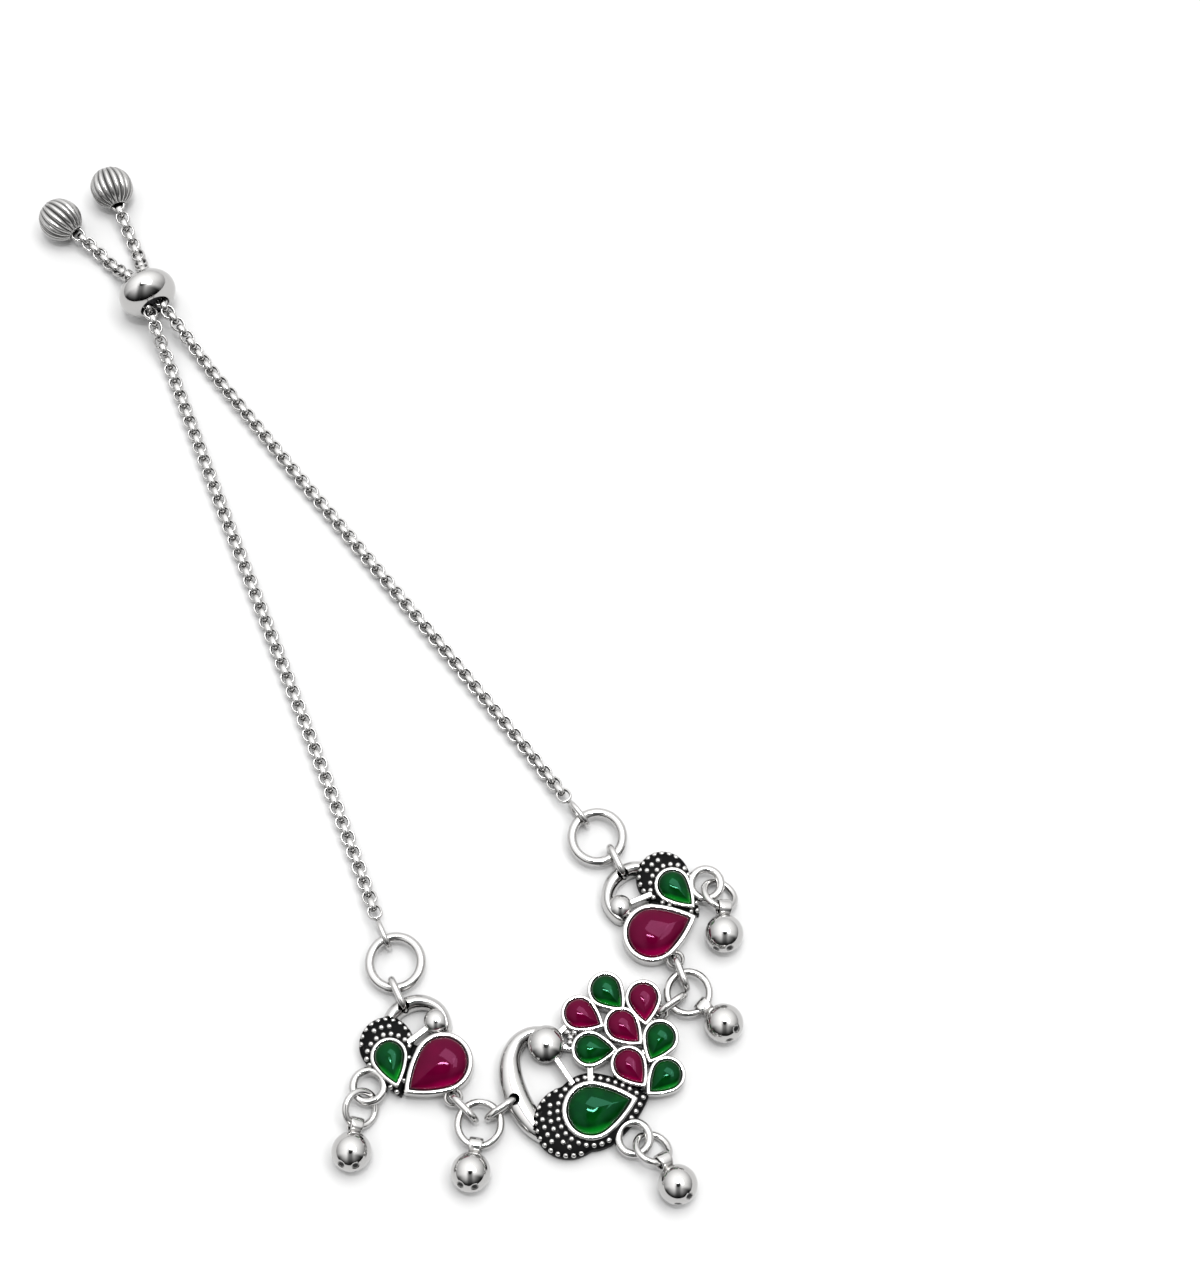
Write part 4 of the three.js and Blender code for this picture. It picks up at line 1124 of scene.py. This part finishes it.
class PAYAL_OT_links(PieceOperator, bpy.types.Operator):
    """Add the upright oval links"""

    bl_idname = "payal.links"
    bl_label = "Links"

    def execute(self, context):
        sizes = context.scene.payal_sizes
        for side in SIDES:
            for kind in ("centre_link", "charm_link", "neck_link", "chain_end_link"):
                wire = sizes.end_link_wire if kind == "chain_end_link" else sizes.link_wire
                node = f"{side}_{kind}"
                lone_piece(f"{node}_wire", node, oval_shape(*link_pose(node), wire))
        return {"FINISHED"}


class PAYAL_OT_ball_drops(PieceOperator, bpy.types.Operator):
    """Add the ball drops with their strap bails"""

    bl_idname = "payal.ball_drops"
    bl_label = "Ball Drops"

    def execute(self, context):
        nodes = ["centre_ball"]
        nodes += [f"{side}_{kind}_ball" for side in SIDES for kind in ("connector", "side")]
        for node in nodes:
            self.drop(node, context.scene.payal_sizes)
        return {"FINISHED"}

    def drop(self, node, sizes):
        """A ball and its bail. The node's longest direction is the axis, and its wider end the
        ball. The bore runs where the strap's corners spread widest, turned a little level."""
        points, middle, directions = pose(node)
        axis = directions[0]
        along = (points - middle) @ axis
        beside = np.linalg.norm(points - middle - np.outer(along, axis), axis=1)
        if beside[along > along.max() - MM].max() > beside[along < along.min() + MM].max():
            axis, along = -axis, -along
        strap_reach = sizes.bail_bore + sizes.bail_strap
        wire = middle + axis * (along.max() - strap_reach)
        ball = middle + axis * (along.min() + sizes.ball_radius)
        strap = points[(points - ball) @ axis > 1.05 * sizes.ball_radius] - wire
        flat = strap - np.outer(strap @ axis, axis)
        bore = np.linalg.eigh(flat.T @ flat)[1][:, -1]
        level = unit(np.cross(UP, axis))
        bore = unit(0.62 * bore + 0.38 * level * np.sign(level @ bore))
        shapes = Shapes()
        shapes.add(*self.bell(ball, axis, NOTCH_TURNS.get(node, 45), sizes))
        ring = circle(56)
        out = ring @ [axis, np.cross(bore, axis)]
        mean = sizes.bail_bore + sizes.bail_strap / 2
        narrow = 1 - 0.16 * (1 - ring[:, 0]) / 2
        section = circle(20)
        thick = squared(section[:, 0], 0.7) * sizes.bail_strap / 2
        broad = squared(section[:, 1], 0.45) * sizes.bail_width / 2
        rows = (wire + out[:, None] * (mean + thick[None, :, None])
                + bore * (broad[None] * narrow[:, None])[..., None])
        shapes.add(loft(rows, wrap=True))
        shapes.piece(f"{node}_drop", [silver()], [node], "silver")

    def bell(self, middle, axis, turn, sizes):
        """Ball with four notches round the end away from the bail. A point is sunk and painted
        dark, as the shade in a notch's opening, where it lies less than a notch's radius from a
        notch's middle."""
        points, faces = ball_shape(middle, axis, sizes.ball_radius, 96, 48)
        away = (points - middle) / sizes.ball_radius
        level = unit(np.cross(UP, axis))
        out = spin(circle(4), math.radians(turn)) @ [level, np.cross(axis, level)]
        lean = math.radians(NOTCH_LEAN)
        notches = math.sin(lean) * out - math.cos(lean) * axis
        apart = np.linalg.norm(away[:, None] - notches, axis=2).min(1) * sizes.ball_radius
        # Painted shade in the notches' openings: this value darkens the silver.
        dark = np.clip(0.5 + (sizes.notch - apart) / NOTCH_DEPTH, 0, 1)
        return (points - away * (dark * NOTCH_DEPTH)[:, None], faces), dark


def chain_line(side, sizes):
    """A chain's route from its end link to inside its bead, in plan as on the left, with x turned
    over on the right. Returns the curve, the bead's middle and the way in to the bead."""
    turn = np.array([SIDES[side], 1, 1])
    middle, along, long, _ = link_pose(f"{side}_chain_end_link")
    along = along if along[1] > 0 else -along
    start = np.array([*(middle[:2] + along * (long / 2 + 0.1 * MM)), middle[2]]) * turn
    low = sizes.chain / 2 + 0.03 * MM
    rising = [np.array([x * MM, y * MM, low]) for x, y in CHAIN_RISE[side]]
    away = unit((rising[0] - start) * [1, 1, 0])
    settling = [start * [1, 1, 0] + away * run * MM + [0, 0, low + left * (start[2] - low)]
                for run, left in SETTLE]
    slide = np.mean(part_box("slider_bead"), 0)
    strands = [[-apart * sizes.strand_spacing, slide[1] + face + off * MM, up * slide[2]]
               for face, table in ((-sizes.slider_length / 2, CLIMB),
                                   (sizes.slider_length / 2, DESCENT))
               for apart, off, up in table]
    tail = [[x * MM, y * MM, low + (k + 0.2) * 0.25 * MM]
            for k, (x, y) in enumerate(CHAIN_TAIL[side])]
    bead = np.array([*(np.array(END_BEAD[side]) * MM), sizes.bead_radius])
    arrival = unit(tail[-1] - bead)
    ends = [bead + arrival * (sizes.bead_radius - depth) for depth in (0, sizes.bead_depth * 0.9)]
    line = through([start, *settling, *rising, *strands, *tail, *ends], 4000)
    return line * turn, bead * turn, arrival * turn


def chain_link_shape(sizes):
    """One box chain link in its own axes, X along the chain: a flat oval section of the strip
    carried round a square with round corners, and its painted shade, dark on the inner side."""
    out = spin(circle(12), math.pi / 12)
    square = squared(out, 0.86)
    square /= square.max()
    section = circle(8)
    thick = section[:, 0] * sizes.chain_strip / 2
    broad = squared(section[:, 1], 0.6) * sizes.chain_face / 2
    mean = (np.array([sizes.chain_link, sizes.chain]) - sizes.chain_strip) / 2
    flat = (square * mean)[:, None] + out[:, None] * thick[None, :, None]
    rows = np.concatenate([flat, np.broadcast_to(broad[None, :, None], (12, 8, 1))], -1)
    # Painted shade: the inner side of each link is darkened, for the shade inside the chain.
    return loft(rows, wrap=True), np.tile(np.clip(-section[:, 0], 0, 1) ** 2, 12)


class PAYAL_OT_chains(PieceOperator, bpy.types.Operator):
    """Add the two box chains"""

    bl_idname = "payal.chains"
    bl_label = "Chains"

    def execute(self, context):
        sizes = context.scene.payal_sizes
        for side in SIDES:
            line, _, _ = chain_line(side, sizes)
            run = runs(line)[-1] - sizes.chain_link * 0.9
            count = int(run / sizes.chain_pitch) + 1
            at = sizes.chain_link * 0.42 + np.arange(count) * sizes.chain_pitch
            along = unit(at_runs(line, at + 0.3 * MM) - at_runs(line, at - 0.3 * MM))
            level = unit(np.cross(UP, along))
            upright = np.cross(along, level)
            twist = sum(turn * np.sin(at / scale) for turn, scale in TWISTS)
            cos, sin = polar(twist + (np.arange(count) % 2) * (math.pi / 2)).T[..., None]
            axes = np.stack([along, level * cos + upright * sin, upright * cos - level * sin], 1)
            link, shade = chain_link_shape(sizes)
            lone_piece(f"{side}_box_chain", f"{side}_chain", copies(link, at_runs(line, at), axes),
                       np.tile(shade, count), 70)
        return {"FINISHED"}


class PAYAL_OT_end_beads(PieceOperator, bpy.types.Operator):
    """Add the fluted end beads"""

    bl_idname = "payal.end_beads"
    bl_label = "End Beads"

    def execute(self, context):
        for side in SIDES:
            self.bead(side, context.scene.payal_sizes)
        return {"FINISHED"}

    def bead(self, side, sizes):
        """A ball whose radius dips in narrow grooves from pole to pole, with a bored mouth. The
        groove is the flute's depth times one less the sine of the turn, and fades at the poles."""
        _, middle, arrival = chain_line(side, sizes)
        radius, bore = sizes.bead_radius, sizes.bead_bore
        mouth = math.asin(bore / radius)
        angle = np.linspace(mouth + 0.09, math.pi, 42)[:-1]
        profile = polar(angle) * radius
        face = radius * math.cos(mouth)
        lip = [(face - sizes.bead_depth, bore), (face - 0.15 * MM, bore),
               (face - 0.01 * MM, bore * 1.02), (face, bore * 1.12)]
        columns = 12 * FLUTES
        rows = turned_shape(middle, arrival, np.vstack([lip, profile]), columns)
        groove = 1 - np.abs(np.sin(np.arange(columns) * math.pi * FLUTES / columns))
        fluted = np.repeat([0.0, 1.0], [len(lip), len(angle)])
        depth = sizes.flute * fluted
        depth[len(lip):] *= np.sin(angle) ** 0.7
        rows = rows + unit(middle - rows) * (depth[:, None] * groove)[..., None]
        # Painted shade: darker in the grooves and black in the bore.
        shade = fluted[:, None] * groove**0.9
        shade[:2] = 1.0
        lone_piece(f"{side}_fluted_bead", f"{side}_end_bead",
                   loft(rows, end=middle - arrival * radius), [*shade.ravel(), 1.0, 0.0], 60)


class PAYAL_OT_slider(PieceOperator, bpy.types.Operator):
    """Add the slider, and finish its rubber stopper"""

    bl_idname = "payal.slider"
    bl_label = "Slider"

    def execute(self, context):
        sizes = context.scene.payal_sizes
        middle = np.mean(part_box("slider_bead"), 0)
        outer = middle[2]
        bore, mouth = sizes.slider_bore / 2, sizes.slider_mouth / 2
        half = sizes.slider_length / 2
        limit = math.acos(mouth / outer)
        angle = np.linspace(-limit, limit, 41)
        outside = np.stack([half * np.sin(angle) / math.sin(limit), outer * np.cos(angle)], -1)
        lip = bore + 0.4 * (mouth - bore)
        edge = [(half * 0.985, lip), (half * 0.93, bore), (0, bore), (-half * 0.93, bore),
                (-half * 0.985, lip)]
        profile = np.vstack([outside, edge])
        rows = turned_shape(middle, (0, 1, 0), profile, 112)
        # Painted shade: the bore is black inside.
        shade = np.zeros(len(profile))
        shade[-4:-1] = 1.0
        lone_piece("slider_rondelle", "slider_bead", loft(rows, wrap=True),
                   np.repeat(shade, rows.shape[1]), 50)
        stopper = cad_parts["slider_stopper"]
        stopper.data.materials.clear()
        stopper.data.materials.append(material("rubber", build_rubber))
        return {"FINISHED"}


class PAYAL_OT_stage(PieceOperator, bpy.types.Operator):
    """Add the table, the studio light and the camera"""

    bl_idname = "payal.stage"
    bl_label = "Stage"

    def execute(self, context):
        scene = context.scene
        scene.view_settings.view_transform = "Standard"
        self.table()
        for name, settings in LAMPS.items():
            self.light(scene, name, *settings)
        self.sky(scene)
        camera = bpy.data.objects.new("camera", bpy.data.cameras.new("camera"))
        self.aim(camera, Vector(CAMERA_PLACE) * MM, Vector(CAMERA_TARGET) * MM)
        camera.data.lens = CAMERA_LENS
        camera.data.clip_start = 0.01
        scene.collection.objects.link(camera)
        scene.camera = camera
        return {"FINISHED"}

    def table(self):
        """A square table top, a hair under the anklet."""
        corner = 0.9 * spin(circle(4), math.pi / 4) * math.sqrt(2)
        table = new_object("table", rise(corner, -0.02 * MM), [np.arange(4)[None]])
        table.data.materials.append(material("table", build_table))

    def light(self, scene, name, place, wide, long, power):
        """A soft rectangular light that faces the anklet's charms."""
        lamp = bpy.data.lights.new(name, "AREA")
        lamp.shape = "RECTANGLE"
        lamp.size, lamp.size_y = wide, long
        lamp.energy = power
        obj = bpy.data.objects.new(name, lamp)
        self.aim(obj, Vector(place), Vector((0.0, 0.03, 0.0)))
        scene.collection.objects.link(obj)

    def aim(self, obj, place, target):
        """Puts a lamp or camera at a place, turned towards a target."""
        obj.location = place
        obj.rotation_euler = (target - place).to_track_quat("-Z", "Y").to_euler()

    def sky(self, scene):
        """Studio all round, by direction: white overhead that falls off to grey at the horizon,
        dark in front, and a black spot where the camera stands."""
        world = bpy.data.worlds.new("studio")
        scene.world = world
        tree = Tree(world)
        place = tree.node("ShaderNodeTexCoord", output="Generated")

        def along(direction):
            return tree.node("ShaderNodeVectorMath", {"operation": "DOT_PRODUCT"},
                             {0: place, 1: direction}, output="Value")

        up = along((0.0, 0.0, 1.0))
        side, back = along(TO_RIGHT), along(TO_BACK)
        apart, front = side.math("ABSOLUTE", side), 0.0 - back
        lit = 0.3 + up + 0.5 * up * up + 0.55 * back.math("MAXIMUM", back, 0.0) - 0.05 * side
        low_front = (1.45 - 1.1 * side) * up * up
        studio = lit + (low_front - lit) * front.step(0.15, 0.5)
        studio = studio * (1.0 - 0.75 * (1.0 - apart.step(0.08, 0.4)) * front.step(0.12, 0.3))
        camera = along(TO_CAMERA)
        studio = studio * (1.0 - 0.3 * camera.step(0.9, 0.98))
        studio = 1.2 * studio * (1.0 - 0.97 * camera.step(0.972, 0.984))
        below = 1.0 - up.step(-0.02, 0.0)
        background = tree.node("ShaderNodeBackground", None, {
            "Color": (1.0, 1.0, 1.0, 1.0), "Strength": studio * (1.0 - below) + 0.8 * below})
        tree.node("ShaderNodeOutputWorld", None, {"Surface": background})


OPERATORS = (
    PAYAL_OT_stage, PAYAL_OT_peacock, PAYAL_OT_side_charms, PAYAL_OT_stones, PAYAL_OT_rings,
    PAYAL_OT_links, PAYAL_OT_ball_drops, PAYAL_OT_chains, PAYAL_OT_end_beads, PAYAL_OT_slider,
)


class PAYAL_PT_panel(bpy.types.Panel):
    """Panel that lists the anklet's pieces"""

    bl_idname = "PAYAL_PT_panel"
    bl_label = "Payal Anklet"
    bl_space_type = "VIEW_3D"
    bl_region_type = "UI"
    bl_category = "Anklet"

    def draw(self, context):
        for operator in OPERATORS:
            self.layout.operator(operator.bl_idname)
        for group in (context.scene.payal_sizes, context.scene.payal_colours):
            box = self.layout.box()
            for name in group.bl_rna.properties.keys():
                if name not in ("rna_type", "name"):
                    box.prop(group, name)


CLASSES = (PAYAL_PG_sizes, PAYAL_PG_colours, *OPERATORS, PAYAL_PT_panel)


def register():
    for cls in CLASSES:
        bpy.utils.register_class(cls)
    bpy.types.Scene.payal_sizes = PointerProperty(type=PAYAL_PG_sizes)
    bpy.types.Scene.payal_colours = PointerProperty(type=PAYAL_PG_colours)


def unregister():
    del bpy.types.Scene.payal_colours
    del bpy.types.Scene.payal_sizes
    for cls in reversed(CLASSES):
        bpy.utils.unregister_class(cls)


def main():
    register()
    for operator in OPERATORS:
        group, name = operator.bl_idname.split(".")
        if getattr(getattr(bpy.ops, group), name)() != {"FINISHED"}:
            raise RuntimeError(f"{operator.bl_label} wasn't finished")


if __name__ == "__main__":
    main()
